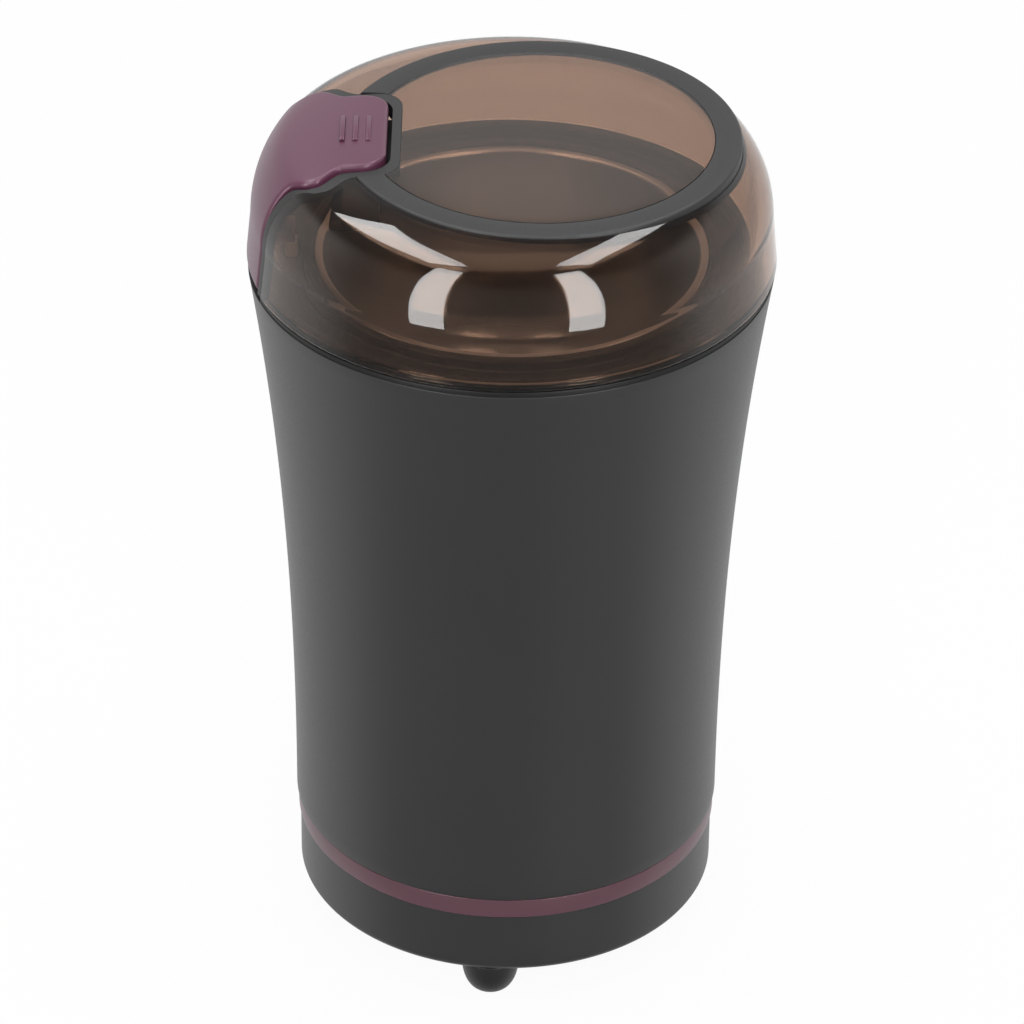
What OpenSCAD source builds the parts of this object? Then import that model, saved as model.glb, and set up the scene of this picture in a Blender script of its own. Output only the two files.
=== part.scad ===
// Electric coffee grinder: a waisted body with a motor inside, a steel grinding bowl with a
// two-wing blade, and a see-through lid that carries the press button. Millimetres, +Z up.
// The origin is on the centre line, on the surface that the feet stand on. The button is at -X.

/* [Base and feet] */
// Height of a rubber foot below the base cover
foot_h = 7.6; // [4:0.1:9]
// Widest diameter of a rubber foot
foot_d = 11; // [9:0.5:12]
// Flat diameter that a foot stands on
foot_flat_d = 5; // [4:0.5:7]
// How far a foot's middle lies inside the base cover's side
foot_inset = 6.3; // [6:0.1:8]
// Height of the base cover's side
base_h = 13; // [12:0.2:18]
// How far the base cover's side lies inside the body's lower edge
base_step = 0.7; // [0.3:0.1:1.5]
// Wall of the base cover
base_wall = 2.2; // [1.6:0.1:3]
// Floor of the base cover
base_floor = 2.4; // [2:0.1:3.5]
// Rounding of the base cover's bottom edge
base_edge_r = 1.6; // [0.8:0.1:2]
// How far the base cover's spigot reaches into the body
base_spigot_h = 5; // [3:0.5:8]
// Number of cooling slots in the base floor
vent_count = 10; // [6:1:12]
// Width of a cooling slot
vent_w = 2.6; // [1.5:0.1:4]
// Bore of the mains lead's gland
gland_bore_d = 6.2; // [5.6:0.1:6.4]

/* [Trim band] */
// Height of the coloured band
band_h = 4.6; // [3:0.1:7]
// How far the band lies inside the body's lower edge
band_step = 0.35; // [0.1:0.05:0.8]

/* [Body] */
// Height of the body shell
body_h = 117; // [112:0.5:124]
// How far the body's lower edge lies inside the lid's side
body_waist = 8.1; // [6.5:0.1:8.5]
// Wall of the body shell
body_wall = 2.4; // [1.8:0.1:2.8]
// How sharply the body flares towards its top
flare_power = 2.3; // [1.8:0.1:3]
// Radius of a screw column inside the body
column_r = 3.6; // [3.2:0.1:4]

/* [Collar] */
// Thickness of the collar's flange, the dark line under the lid
flange_t = 1; // [0.8:0.1:1.6]
// Height of the spigot that the lid fits over
spigot_h = 1; // [0.8:0.1:2]
// Wall of that spigot
spigot_wall = 2.6; // [2.2:0.1:3]
// Height of the ring round the bowl above the seam
collar_h = 1.2; // [1:0.1:2]
// Wall of that ring
collar_wall = 2; // [1.5:0.1:2.5]
// Thickness of the collar's deck
deck_t = 2; // [1.6:0.1:2.6]

/* [Lid] */
// Diameter of the lid at its lower edge
lid_d = 98; // [97:0.2:100]
// Height of the lid's flat top above the seam
lid_h = 25.25; // [23:0.25:28]
// Wall of the lid
lid_wall = 2.8; // [2.4:0.1:3]
// How much the lid's side leans in up to its shoulder
lid_draft = 0.9; // [0.2:0.1:1.5]
// Height above the seam where the shoulder's rounding starts
shoulder_h = 9.5; // [8.5:0.5:12]
// Width of the shoulder's rounding
shoulder_w = 13; // [11.5:0.1:14.5]
// Fall of the lid's top outside the ring, in degrees
top_slope = 12; // [8:0.5:15]
// Gap between the lid's lower edge and the collar's flange
seam_gap = 0.4; // [0.3:0.05:0.8]

/* [Window ring] */
// How much smaller the dark ring round the window is than the lid, as a radius
ring_inset = 12.1; // [11.5:0.1:13.5]
// Width of the ring
ring_w = 5.1; // [4:0.1:7]
// Depth of the ring's seat in the lid
ring_t = 1.4; // [1:0.1:1.6]
// How far the ring's centre lies from the lid's centre
ring_offset = 5.1; // [4.5:0.1:6]

/* [Button] */
// How far the button reaches in from the lid's side
button_reach = 26.1; // [25:0.1:27]
// Width of the button's tip
tip_w = 26.8; // [24:0.2:28]
// Width of the button at its ears
ear_w = 34; // [32:0.2:36]
// Width of the button's side plate
side_w = 31.4; // [29:0.2:33]
// Rounding of the tip's corners
tip_corner_r = 5; // [3:0.2:6]
// Thickness of the button's skin
button_t = 2.4; // [2:0.1:2.8]
// How far the button's top stands proud of the lid
button_proud = 1.1; // [0.6:0.1:1.3]
// Travel of the button
button_travel = 1.5; // [1:0.1:2]
// Height of the side plate's lower edge above the lid's lower edge
plate_raise = 0.5; // [0.3:0.1:1]
// Gap in front of the button's tip
tip_gap = 0.8; // [0.4:0.1:1.4]
// Width of the dark guide strip round the button
strip_w = 1.7; // [1.5:0.1:2.4]
// Number of grip bars on the tip
grip_bars = 3; // [2:1:4]
// Distance from the button's tip to its stem
stem_inset = 5.1; // [4.6:0.1:6]
// Depth of the guide's yoke below the lid's top
yoke_depth = 11.5; // [10.5:0.1:13]
// Wire of the button's spring
button_wire_d = 0.7; // [0.5:0.05:0.8]
// Number of curls of the button's spring
button_curls = 4; // [3:1:5]

/* [Bowl and blade] */
// How far the bowl's inside lies from the lid's side
bowl_inset = 14; // [13.4:0.1:15.5]
// Depth of the grinding bowl
bowl_depth = 46; // [42:0.5:48]
// Steel thickness of the bowl
bowl_t = 0.8; // [0.6:0.1:1]
// Inner corner radius of the bowl's floor
bowl_corner_r = 12; // [9:0.5:14]
// Height of the bowl's rim above the seam
bowl_rise = 0.8; // [0.4:0.1:2]
// Gap between a tip of the blade and the bowl's side
blade_gap = 7.5; // [6:0.1:11]
// Width of the blade
blade_w = 9; // [8:0.5:11]
// Thickness of the blade
blade_t = 1.4; // [1:0.1:2]
// Lift of the blade's wings in degrees
blade_lift = 14; // [8:1:18]
// Height of the hub below the blade
hub_h = 5; // [4:0.5:7]

/* [Motor] */
// Diameter of the motor shaft
shaft_d = 6; // [5:0.1:7]
// Size of the armature, as a share of the stator's
armature_share = 0.545; // [0.53:0.001:0.55]
// Height of the armature's and the stator's stacks
stack_h = 24; // [20:0.5:26]
// Air gap between the armature and the stator
air_gap = 0.5; // [0.4:0.1:0.8]
// Number of slots in the armature
armature_slots = 12; // [8:1:14]
// Height of the winding ends above and below the armature
winding_h = 7; // [5:0.5:8]
// Size of the commutator, as a share of the armature's
commutator_share = 0.588; // [0.55:0.002:0.62]
// Height of the commutator
commutator_h = 12; // [11:0.5:14]
// Thickness of a field coil
coil_t = 5.4; // [4.5:0.1:5.8]
// Thickness of the motor carrier's plate
carrier_t = 3.5; // [3:0.1:4.5]
// Thickness of the lower bracket's plate
bracket_t = 3.5; // [3:0.1:4.5]
// Outer diameter of a shaft bush
bush_d = 14; // [12:0.5:15]
// Length of a shaft bush
bush_h = 9; // [7:0.5:10]
// Width of a carbon brush
brush_w = 6; // [5:0.2:7]
// Height of a carbon brush
brush_h = 8; // [7:0.2:9]
// Length of a carbon brush
brush_l = 10; // [8:0.5:11]

/* [Switch] */
// Diameter of the switch rod
rod_d = 3.2; // [2.8:0.1:3.6]
// Length of the rod's sprung stretch
rod_spring_h = 7; // [6:0.5:8]
// Wire of the rod's spring
rod_wire_d = 0.5; // [0.4:0.05:0.6]
// Number of curls of the rod's spring
rod_curls = 5; // [4:1:6]
// Length of the switch's case
switch_l = 13; // [12:0.2:14]
// Height of the switch's case
switch_h = 7; // [6:0.2:8]
// Gap between the switch's case and the body shell
switch_gap = 0.25; // [0.2:0.05:0.6]

/* [Hidden] */
$fn = 96;

// Clearances
cut = 1;                // how far a cutting shape runs past the face that it cuts
fit = 0.05;             // snug fit between fixed pieces
slip = 0.15;            // loose fit between fixed pieces
touch_gap = 0.3;        // gap between pieces that meet when they move
run_gap = 0.03;         // running gap of the shaft in its bushes
lid_fit = 0.3;          // radial gap of the lid on its spigot
seat_gap = 0.2;         // gap between the lid's step and the spigot's top
button_gap = 0.4;       // gap round the button

// Levels
base_z = foot_h;
band_z = base_z + base_h;
body_z = band_z + band_h;
rim_z = body_z + body_h;
seam_z = rim_z + flange_t;
lid_z = seam_z + seam_gap;
top_z = seam_z + lid_h;

// Body
lid_r = lid_d / 2;
body_bottom_r = lid_r - body_waist;
body_top_inset = 0.3;
body_top_r = lid_r - body_top_inset;
flare_steps = 28;
base_r = body_bottom_r - base_step;
band_r = body_bottom_r - band_step;
body_inner_r = body_bottom_r - body_wall;
spigot_gap = 0.3;
base_spigot_r = body_inner_r - spigot_gap;
base_inner_r = base_spigot_r - base_wall;
column_bite = 0.6;
column_count = 3;
column_circle_r = body_inner_r - column_r + column_bite;
column_z = body_z + base_spigot_h + touch_gap;
column_web = 2.4;
screw_d = 3;
screw_head_d = 5.6;
screw_head_h = 2;
pilot_r = screw_d / 2 + fit;
screw_hole_r = screw_d / 2 + 0.2;
screw_bite = 9;
foot_count = 3;
foot_circle_r = base_r - foot_inset;
foot_stem_r = base_inner_r - foot_circle_r - 0.8;
vent_out_r = foot_circle_r - foot_d / 2 - 3;
vent_in_r = vent_out_r - 9;
foot_angle = -94.4;
column_angle = 8;
gland_angle = 90;
gland_wall = 1;
gland_lip = 0.9;
gland_lip_t = 0.5;
gland_tail = 1;
gland_reach = 8;
gland_z = base_z + base_floor + gland_bore_d / 2 + gland_wall + gland_lip + 0.2;

// Lid and collar
lid_rim_wall = 1.8;
spigot_r = lid_r - lid_rim_wall - lid_fit;
spigot_inner_r = spigot_r - spigot_wall;
flange_r = body_top_r - 0.2;
skirt_h = 4;
skirt_r = body_r(rim_z - skirt_h) - body_wall - slip;
deck_z = rim_z;
bowl_r = lid_r - bowl_inset;
bowl_lip = 1;
bowl_rim_z = seam_z + bowl_rise;
bowl_floor_z = bowl_rim_z - bowl_depth;
bowl_lip_r = bowl_r + bowl_t + bowl_lip;
collar_inner_r = bowl_lip_r + slip;
collar_r = collar_inner_r + collar_wall;
ledge_inner_r = bowl_r + bowl_t + slip;
ledge_t = 2.2;
ring_r = lid_r - ring_inset;
shoulder_top_r = lid_r - shoulder_w;
dome_steps = 16;

// Button
tip_x = lid_r - button_reach;
stem_x = tip_x + stem_inset;
tip_half = tip_w / 2;
ear_half = ear_w / 2;
side_half = side_w / 2;
ear_start = 7.8;
ear_full = 13;
ear_end = 14.2;
side_start = 17.6;
outline_reach = button_reach + 4;
stem_r = 2.2;
yoke_z = top_z - yoke_depth;
yoke_t = 1.8;
yoke_w = 9;
stem_end_z = yoke_z - slip;
button_spring_r = 3.2;
notch_clear = 0.6;
notch_depth = button_travel + notch_clear - seam_gap - plate_raise;
grip_bar_w = 1;
grip_bar_l = 9;
grip_pitch = 2.4;
grip_rise = 0.3;

// Switch
rod_x = (collar_r + spigot_inner_r) / 2;
rod_r = rod_d / 2;
rod_top_z = seam_z + spigot_h + button_travel + 0.5;
rod_tip_r = 0.8;
rod_tip_l = 3;
rod_flange_r = rod_r + 0.9;
rod_flange_t = 1.2;
rod_flange_z = deck_z - deck_t - 6;
shelf_t = 1.5;
shelf_z = rod_flange_z - rod_spring_h;
rod_guide_l = 1.5;
rod_end_z = shelf_z - shelf_t - rod_guide_l - rod_tip_l;
leaf_t = 0.5;
leaf_tail = 2.6;
leaf_z = rod_end_z - touch_gap;
leaf_pin_r = 0.6;
leaf_eye_r = 1.1;
leaf_arm = switch_l / 2 - leaf_eye_r - slip;
plunger_arm = leaf_arm / 2;
plunger_r = 0.9;
switch_top_z = leaf_z - leaf_t - 2.6;
switch_x = bowl_r + bowl_t + 0.7;
switch_wall_r = body_r(switch_top_z - switch_h - 1.5) - body_wall;
switch_w = sqrt(pow(switch_wall_r, 2) - pow(switch_l / 2, 2)) - switch_x - switch_gap;
lug_t = 0.8;
lug_gap = 0.1;
leaf_w = switch_w - 2 * (lug_t + lug_gap);
leaf_x = switch_x + switch_w / 2;
leaf_reach = rod_x + rod_tip_r + 0.2;
leg_w = 3;
leg_t = 3;
leg_x = switch_x + 0.3;
foot_plate_t = 2;
stake_r = 1.2;

// Motor
shaft_r = shaft_d / 2;
carrier_top_z = bowl_floor_z - bowl_t;
carrier_z = carrier_top_z - carrier_t;
carrier_r = body_r(carrier_z) - body_wall - spigot_gap;
motor_ledge_t = 3;
motor_ledge_r = column_circle_r - column_r - 0.5;
boss_wall = 3.5;
bush_r = bush_d / 2;
boss_r = bush_r + boss_wall;
bush_top_z = carrier_top_z - 2.4;
bush_z = bush_top_z - bush_h;
washer_t = 0.8;
washer_gap = 0.1;
winding_top_z = bush_z - washer_t - washer_gap;
stack_top_z = winding_top_z - winding_h;
stack_z = stack_top_z - stack_h;
winding_z = stack_z - winding_h;
commutator_top_z = winding_z - 0.4;
commutator_z = commutator_top_z - commutator_h;
stator_gap = 0.7;
stator_r = column_circle_r - column_r - stator_gap;
armature_r = stator_r * armature_share;
armature_slot_r = armature_r * 0.118;
stator_bore_r = armature_r + air_gap;
commutator_r = armature_r * commutator_share;
pillar_r = 4;
pillar_circle_r = stator_r - pillar_r - 0.7;
pole_shoe = 1.2;
coil_fit = 0.3;
coil_x = stator_bore_r + pole_shoe + coil_fit;
pole_half = stator_bore_r * 0.49;
coil_side = 5.8;
coil_end = 5;
bracket_top_z = commutator_z - 1;
bracket_z = bracket_top_z - bracket_t;
bracket_r = stator_r - 1;
lower_bush_z = bracket_top_z - 1 - bush_h;
lower_boss_floor = 1.6;
shaft_z = lower_bush_z - 0.6;
seal_lip_r = bush_r + 2;
seal_lip_t = 1.2;
seal_r = bush_r - 0.2;
seal_depth = 1.5;
hub_gap = 0.6;
hub_z = bowl_floor_z + seal_lip_t + hub_gap;
blade_z = hub_z + hub_h;
hub_r = 7.5;
blade_l = 2 * (bowl_r - blade_gap);
nut_h = 4.5;
nut_r = 5;
shaft_top_z = blade_z + blade_t + nut_h - 1;
brush_z = (commutator_z + commutator_top_z) / 2;
brush_gap = 0.08;
brush_x = commutator_r + brush_gap;
holder_wall = 1;
holder_x = brush_x + 2;
brush_spring_l = 6;
holder_l = brush_x + brush_l + brush_spring_l + 2 * fit - holder_x;

// Wiring
wire_d = 1.8;
wire_side = 4;
wire_wall_r = base_inner_r - wire_d / 2 - 0.5;
wire_x = sqrt(pow(wire_wall_r, 2) - pow(wire_side, 2));
wire_floor_r = bracket_r - 1.2;
wire_floor_z = gland_z + 1.6;
wire_mouth_y = base_inner_r - gland_tail - 1.6;
wire_hole_r = wire_d / 2 + 0.6;

// Radius of the body's outside at a height
function body_r(z) =
    body_bottom_r
    + (body_top_r - body_bottom_r) * pow(max(0, (z - body_z) / body_h), flare_power);

// Points up the body's side, set in from the outside
function flare(inset) = [
    for (i = [0 : flare_steps])
        let (z = body_z + body_h * i / flare_steps)
            [body_r(z) - inset, z]
];

function reversed(list) = [for (i = [len(list) - 1 : -1 : 0]) list[i]];

// Side and shoulder of the lid, set in from the outside and lowered at the top
function dome_side(inset, drop) = [
    for (i = [0 : dome_steps])
        let (a = 90 * i / dome_steps)
            [shoulder_top_r + (lid_r - lid_draft - inset - shoulder_top_r) * cos(a),
             seam_z + shoulder_h + (lid_h - drop - shoulder_h) * sin(a)]
];

function smooth_step(t) = let (c = min(1, max(0, t))) c * c * (3 - 2 * c);

// Half width of the button at a distance back from its tip
function button_half(s) =
    s < tip_corner_r
    ? tip_half - tip_corner_r + sqrt(max(0, pow(tip_corner_r, 2) - pow(tip_corner_r - s, 2)))
    : tip_half
      + (ear_half - tip_half) * smooth_step((s - ear_start) / (ear_full - ear_start))
      + (side_half - ear_half) * smooth_step((s - ear_end) / (side_start - ear_end));

// Distances back from the tip at which the outline has points
outline_steps = concat(
    [for (a = [0 : 15 : 90]) tip_corner_r * (1 - cos(a))],
    [for (t = [0 : 0.2 : 1]) ear_start + (ear_full - ear_start) * t],
    [for (t = [0 : 0.2 : 1]) ear_end + (side_start - ear_end) * t],
    [outline_reach]
);

// Place along X of a point of the button's outline, grown by a margin, with the wider gap at the tip
function outline_x(s, grow) =
    grow - tip_x - s
    + (grow > 0 ? (tip_gap - button_gap) * (1 - smooth_step(s / ear_start)) : 0);

// Outline of the button seen from above, grown by a margin
function button_outline(grow) = concat(
    [for (s = outline_steps) [outline_x(s, grow), -button_half(s) - grow]],
    reversed([for (s = outline_steps) [outline_x(s, grow), button_half(s) + grow]])
);

// Centre line of a coil spring that stands on z = 0, with straight ends one wire long
function spring_path(mean_r, wire_d, curls, h) =
    let (
        rings = 8,
        turns = [
            for (i = [0 : rings * curls])
                let (a = 360 * i / rings)
                    [mean_r * cos(a), mean_r * sin(a),
                     wire_d / 2 + (h - wire_d) * i / (rings * curls)]
        ],
        last = turns[len(turns) - 1]
    )
    concat([turns[0] - [0, wire_d, 0]], turns, [last + [0, wire_d, 0]]);

// Least gap of a spring's wire to the next curl
function spring_gap(path, wire_d) = min([
    for (i = [0 : len(path) - 1])
        for (j = [i + 5 : 1 : len(path) - 1])
            norm(path[i] - path[j]) - wire_d
]);

// Points of a smooth curve through given places
function curve_point(a, b, c, d, t) =
    b + (c - a) * t / 2
    + (2 * a - 5 * b + 4 * c - d) * t * t / 2
    + (3 * b - a - 3 * c + d) * t * t * t / 2;

function curve(places, steps) = concat(
    [for (i = [0 : len(places) - 2])
        for (k = [0 : steps - 1])
            curve_point(places[max(0, i - 1)], places[i], places[i + 1],
                        places[min(len(places) - 1, i + 2)], k / steps)],
    [places[len(places) - 1]]
);

function unit(v) = v / norm(v);

// Round wire swept along a centre line
module sweep(path, wire_d, sides) {
    lean = [0.35, 0.6, 0.72];
    last = len(path) - 1;
    points = [
        for (i = [0 : last])
            let (
                along = unit(path[min(last, i + 1)] - path[max(0, i - 1)]),
                out = unit(cross(along, lean)),
                up = cross(along, out)
            )
            for (k = [0 : sides - 1])
                path[i] + wire_d / 2 * (cos(360 * k / sides) * out + sin(360 * k / sides) * up)
    ];
    skin = [
        for (i = [0 : last - 1])
            for (k = [0 : sides - 1])
                let (
                    a = i * sides + k,
                    b = i * sides + (k + 1) % sides
                )
                each [[a, a + sides, b + sides], [a, b + sides, b]]
    ];
    caps = [[for (k = [0 : sides - 1]) k], [for (k = [sides - 1 : -1 : 0]) last * sides + k]];
    polyhedron(points, concat(skin, caps));
}

module coil_spring(mean_r, wire_d, curls, h) {
    path = spring_path(mean_r, wire_d, curls, h);
    echo(spring_wire_gap = spring_gap(path, wire_d));
    sweep(path, wire_d, 6);
}

module around(count, start) {
    for (i = [0 : count - 1])
        rotate(start + i * 360 / count)
            children();
}

module tube(outer_r, inner_r, z0, z1) {
    translate([0, 0, z0])
        difference() {
            cylinder(r = outer_r, h = z1 - z0);
            translate([0, 0, -cut])
                cylinder(r = inner_r, h = z1 - z0 + 2 * cut);
        }
}

module rod(r, z0, z1) {
    translate([0, 0, z0])
        cylinder(r = r, h = z1 - z0);
}

module box(low, high) {
    translate(low)
        cube(high - low);
}

// Pan-head screw along +Z with its head's outer face at z = 0
module screw(length) {
    rod(screw_head_d / 2, 0, screw_head_h);
    rod(screw_d / 2, screw_head_h, screw_head_h + length);
}

// Solid inside the lid's outer skin, set in by a wall, with its top raised or lowered
module dome(inset, drop, floor_z) {
    edge_r = lid_r + ring_offset + cut;
    intersection() {
        rotate_extrude()
            polygon(concat(
                [[0, floor_z], [lid_r - inset, floor_z], [lid_r - inset, lid_z]],
                dome_side(inset, drop),
                [[0, top_z - drop]]
            ));
        translate([ring_offset, 0, 0])
            rotate_extrude()
                polygon([
                    [0, floor_z - cut],
                    [edge_r, floor_z - cut],
                    [edge_r, top_z - drop - (edge_r - ring_r) * tan(top_slope)],
                    [ring_r, top_z - drop],
                    [0, top_z - drop]
                ]);
    }
}

// Upright prism with the button's outline
module button_prism(grow, z0, z1) {
    translate([0, 0, z0])
        linear_extrude(height = z1 - z0)
            polygon(button_outline(grow));
}

module lid_skin() {
    difference() {
        dome(0, 0, lid_z);
        dome(lid_wall, lid_wall, lid_z - cut);
        rod(spigot_r + lid_fit, lid_z - cut, seam_z + spigot_h + seat_gap);
    }
}

module body_shell() {
    ledge_top_r = body_r(carrier_z) - body_wall / 2;
    color("#2b2b2c")
        difference() {
            union() {
                rotate_extrude()
                    polygon(concat(flare(0), reversed(flare(body_wall))));
                tube(ledge_top_r, motor_ledge_r, carrier_z - motor_ledge_t, carrier_z);
                around(column_count, column_angle) {
                    translate([column_circle_r, 0, 0])
                        rod(column_r, column_z, carrier_z - motor_ledge_t / 2);
                    box([column_circle_r, -column_web / 2, column_z],
                        [body_bottom_r - touch_gap, column_web / 2, carrier_z - motor_ledge_t / 2]);
                }
            }
            around(column_count, column_angle)
                translate([column_circle_r, 0, 0]) {
                    rod(pilot_r, column_z - cut, column_z + screw_bite + cut);
                    rod(pilot_r, carrier_z - screw_bite - cut, carrier_z + cut);
                }
            wire_places()
                rod(wire_hole_r, carrier_z - motor_ledge_t - cut, carrier_z + cut);
            button_prism(button_gap, seam_z - notch_depth, seam_z + cut);
        }
}

module trim_band() {
    color("#6e4153")
        tube(band_r, base_spigot_r + fit, band_z, body_z);
}

module base_cover() {
    color("#2a2a2b")
        difference() {
            union() {
                rotate_extrude()
                    polygon([
                        [0, base_z],
                        [base_r - base_edge_r, base_z],
                        for (a = [-75 : 15 : 0])
                            [base_r - base_edge_r * (1 - cos(a)),
                             base_z + base_edge_r * (1 + sin(a))],
                        [base_r, band_z],
                        [base_spigot_r, band_z],
                        [base_spigot_r, body_z + base_spigot_h],
                        [base_inner_r, body_z + base_spigot_h],
                        [base_inner_r, base_z + base_floor],
                        [0, base_z + base_floor]
                    ]);
                intersection() {
                    around(column_count, column_angle)
                        translate([column_circle_r, 0, 0])
                            rod(column_r, base_z, column_z - touch_gap - 0.5);
                    rod(base_spigot_r - fit, base_z, column_z);
                }
            }
            around(column_count, column_angle)
                translate([column_circle_r, 0, 0]) {
                    rod(screw_hole_r, base_z - cut, column_z + cut);
                    rod(screw_head_d / 2 + slip, base_z - cut, base_z + screw_head_h + slip);
                }
            around(foot_count, foot_angle)
                translate([foot_circle_r, 0, 0])
                    rod(foot_stem_r + fit, base_z - cut, base_z + base_floor + cut);
            around(vent_count, 0)
                box([vent_in_r, -vent_w / 2, base_z - cut],
                    [vent_out_r, vent_w / 2, base_z + base_floor + cut]);
            gland_place()
                rod(gland_bore_d / 2 + gland_wall + fit, -gland_reach - cut, gland_reach + cut);
        }
}

// Place of the mains lead's gland, through the base cover's side
module gland_place() {
    rotate(gland_angle)
        translate([base_r, 0, gland_z])
            rotate([0, 90, 0])
                children();
}

module cord_gland() {
    sleeve_r = gland_bore_d / 2 + gland_wall;
    lip_r = sleeve_r + gland_lip;
    inside = base_r - sqrt(pow(base_inner_r, 2) - pow(lip_r, 2)) + slip;
    color("#1d1d1e")
        gland_place()
            difference() {
                union() {
                    rod(sleeve_r, -inside - gland_tail, gland_lip_t);
                    rod(lip_r, slip, gland_lip_t + slip);
                    rod(lip_r, -inside - gland_tail + touch_gap, -inside);
                }
                rod(gland_bore_d / 2, -gland_reach - cut, gland_reach);
            }
}

module rubber_feet() {
    flat_r = foot_flat_d / 2;
    foot_r = foot_d / 2;
    color("#161616")
        around(foot_count, foot_angle)
            translate([foot_circle_r, 0, 0])
                rotate_extrude()
                    polygon([
                        [0, 0],
                        for (a = [0 : 15 : 90])
                            [flat_r + (foot_r - flat_r) * sin(a), foot_h * 0.8 * (1 - cos(a))],
                        [foot_r, foot_h],
                        [foot_stem_r, foot_h],
                        [foot_stem_r, foot_h + base_floor],
                        [foot_stem_r + 0.55, foot_h + base_floor],
                        [foot_stem_r - 0.4, foot_h + base_floor + 2],
                        [0, foot_h + base_floor + 2]
                    ]);
}

module base_screws() {
    color("#8d8f92")
        around(column_count, column_angle)
            translate([column_circle_r, 0, base_z])
                screw(column_z + screw_bite - base_z - screw_head_h);
}

module bowl_collar() {
    stake_z = deck_z - deck_t - foot_plate_t;
    color("#232324")
        difference() {
            union() {
                tube(flange_r, spigot_inner_r, rim_z, seam_z);
                tube(spigot_r, spigot_inner_r, rim_z, seam_z + spigot_h);
                tube(skirt_r, spigot_inner_r - fit, rim_z - skirt_h, rim_z + fit);
                tube(spigot_inner_r + fit, collar_inner_r, deck_z - deck_t, deck_z);
                tube(collar_r, collar_inner_r, deck_z - deck_t, seam_z + collar_h);
                tube(collar_inner_r + fit, ledge_inner_r,
                     bowl_rim_z - bowl_t - ledge_t, bowl_rim_z - bowl_t);
                for (side = [-1, 1])
                    translate([-leg_x - leg_t / 2, side * (switch_l / 2 + slip + leg_w / 2), 0]) {
                        rod(stake_r, stake_z - fit, deck_z);
                        rod(stake_r + 0.6, stake_z - fit - 0.8, stake_z - fit);
                    }
            }
            translate([-rod_x, 0, 0])
                rod(rod_r + fit, deck_z - deck_t - cut, deck_z + cut);
            difference() {
                button_prism(button_gap, seam_z - notch_depth, seam_z + spigot_h + cut);
                rod(spigot_r + fit, rim_z - cut, top_z);
            }
        }
}

module grinding_bowl() {
    out_r = bowl_r + bowl_t;
    out_corner = bowl_corner_r + bowl_t;
    color("#b9bcbe")
        rotate_extrude()
            polygon(concat(
                [[bowl_lip_r, bowl_rim_z], [bowl_r, bowl_rim_z]],
                [for (a = [0 : 7.5 : 90])
                    [bowl_r - bowl_corner_r * (1 - cos(a)),
                     bowl_floor_z + bowl_corner_r * (1 - sin(a))]],
                [[bush_r, bowl_floor_z], [bush_r, bowl_floor_z - bowl_t]],
                [for (a = [90 : -7.5 : 0])
                    [out_r - out_corner * (1 - cos(a)),
                     bowl_floor_z - bowl_t + out_corner * (1 - sin(a))]],
                [[out_r, bowl_rim_z - bowl_t], [bowl_lip_r, bowl_rim_z - bowl_t]]
            ));
}

module shaft_seal() {
    color("#2f2f2f") {
        difference() {
            union() {
                rod(seal_r, carrier_top_z - seal_depth + fit, bowl_floor_z + fit);
                rod(seal_lip_r, bowl_floor_z, bowl_floor_z + seal_lip_t);
            }
            rod(shaft_r + run_gap, carrier_z, blade_z);
        }
    }
}

module motor_carrier() {
    pillar_end = stack_top_z;
    color("#3a3a3c")
        difference() {
            union() {
                rod(carrier_r, carrier_z, carrier_top_z);
                rod(boss_r, bush_z, carrier_top_z);
                around(2, 90)
                    translate([pillar_circle_r, 0, 0])
                        rod(pillar_r, pillar_end, carrier_top_z);
            }
            rod(bush_r + fit, bush_z - cut, bush_top_z);
            rod(shaft_r + 1, bush_z, carrier_top_z + cut);
            rod(seal_r + fit, carrier_top_z - seal_depth, carrier_top_z + cut);
            around(2, 90)
                translate([pillar_circle_r, 0, 0])
                    rod(pilot_r, pillar_end - cut, carrier_z);
            around(column_count, column_angle)
                translate([column_circle_r, 0, 0])
                    rod(screw_hole_r, carrier_z - cut, carrier_top_z + cut);
            wire_places()
                rod(wire_hole_r, carrier_z - cut, carrier_top_z + cut);
        }
}

module carrier_screws() {
    color("#8d8f92")
        around(column_count, column_angle)
            translate([column_circle_r, 0, carrier_top_z + screw_head_h])
                mirror([0, 0, 1])
                    screw(carrier_t + screw_bite);
}

module upper_bush() {
    color("#b08d57")
        tube(bush_r, shaft_r + run_gap, bush_z, bush_top_z);
}

module lower_bush() {
    color("#b08d57")
        tube(bush_r, shaft_r + run_gap, lower_bush_z, lower_bush_z + bush_h);
}

module lower_bracket() {
    boss_z = lower_bush_z - 0.8 - lower_boss_floor;
    color("#3a3a3c")
        difference() {
            union() {
                rod(bracket_r, bracket_z, bracket_top_z);
                rod(boss_r, boss_z, bracket_top_z);
                around(2, 90)
                    translate([pillar_circle_r, 0, 0])
                        rod(pillar_r, bracket_z, stack_z);
            }
            rod(bush_r + fit, lower_bush_z, bracket_top_z + cut);
            rod(bush_r - 1.5, boss_z + lower_boss_floor, lower_bush_z + cut);
            around(2, 90)
                translate([pillar_circle_r, 0, 0])
                    rod(screw_hole_r, bracket_z - cut, stack_z + cut);
            around(4, 45)
                translate([(boss_r + bracket_r) / 2, 0, 0])
                    rod((bracket_r - boss_r) / 2 - 3, bracket_z - cut, bracket_top_z + cut);
        }
}

module motor_screws() {
    color("#8d8f92")
        around(2, 90)
            translate([pillar_circle_r, 0, bracket_z - screw_head_h])
                screw(stack_top_z + screw_bite - bracket_z);
}

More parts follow.
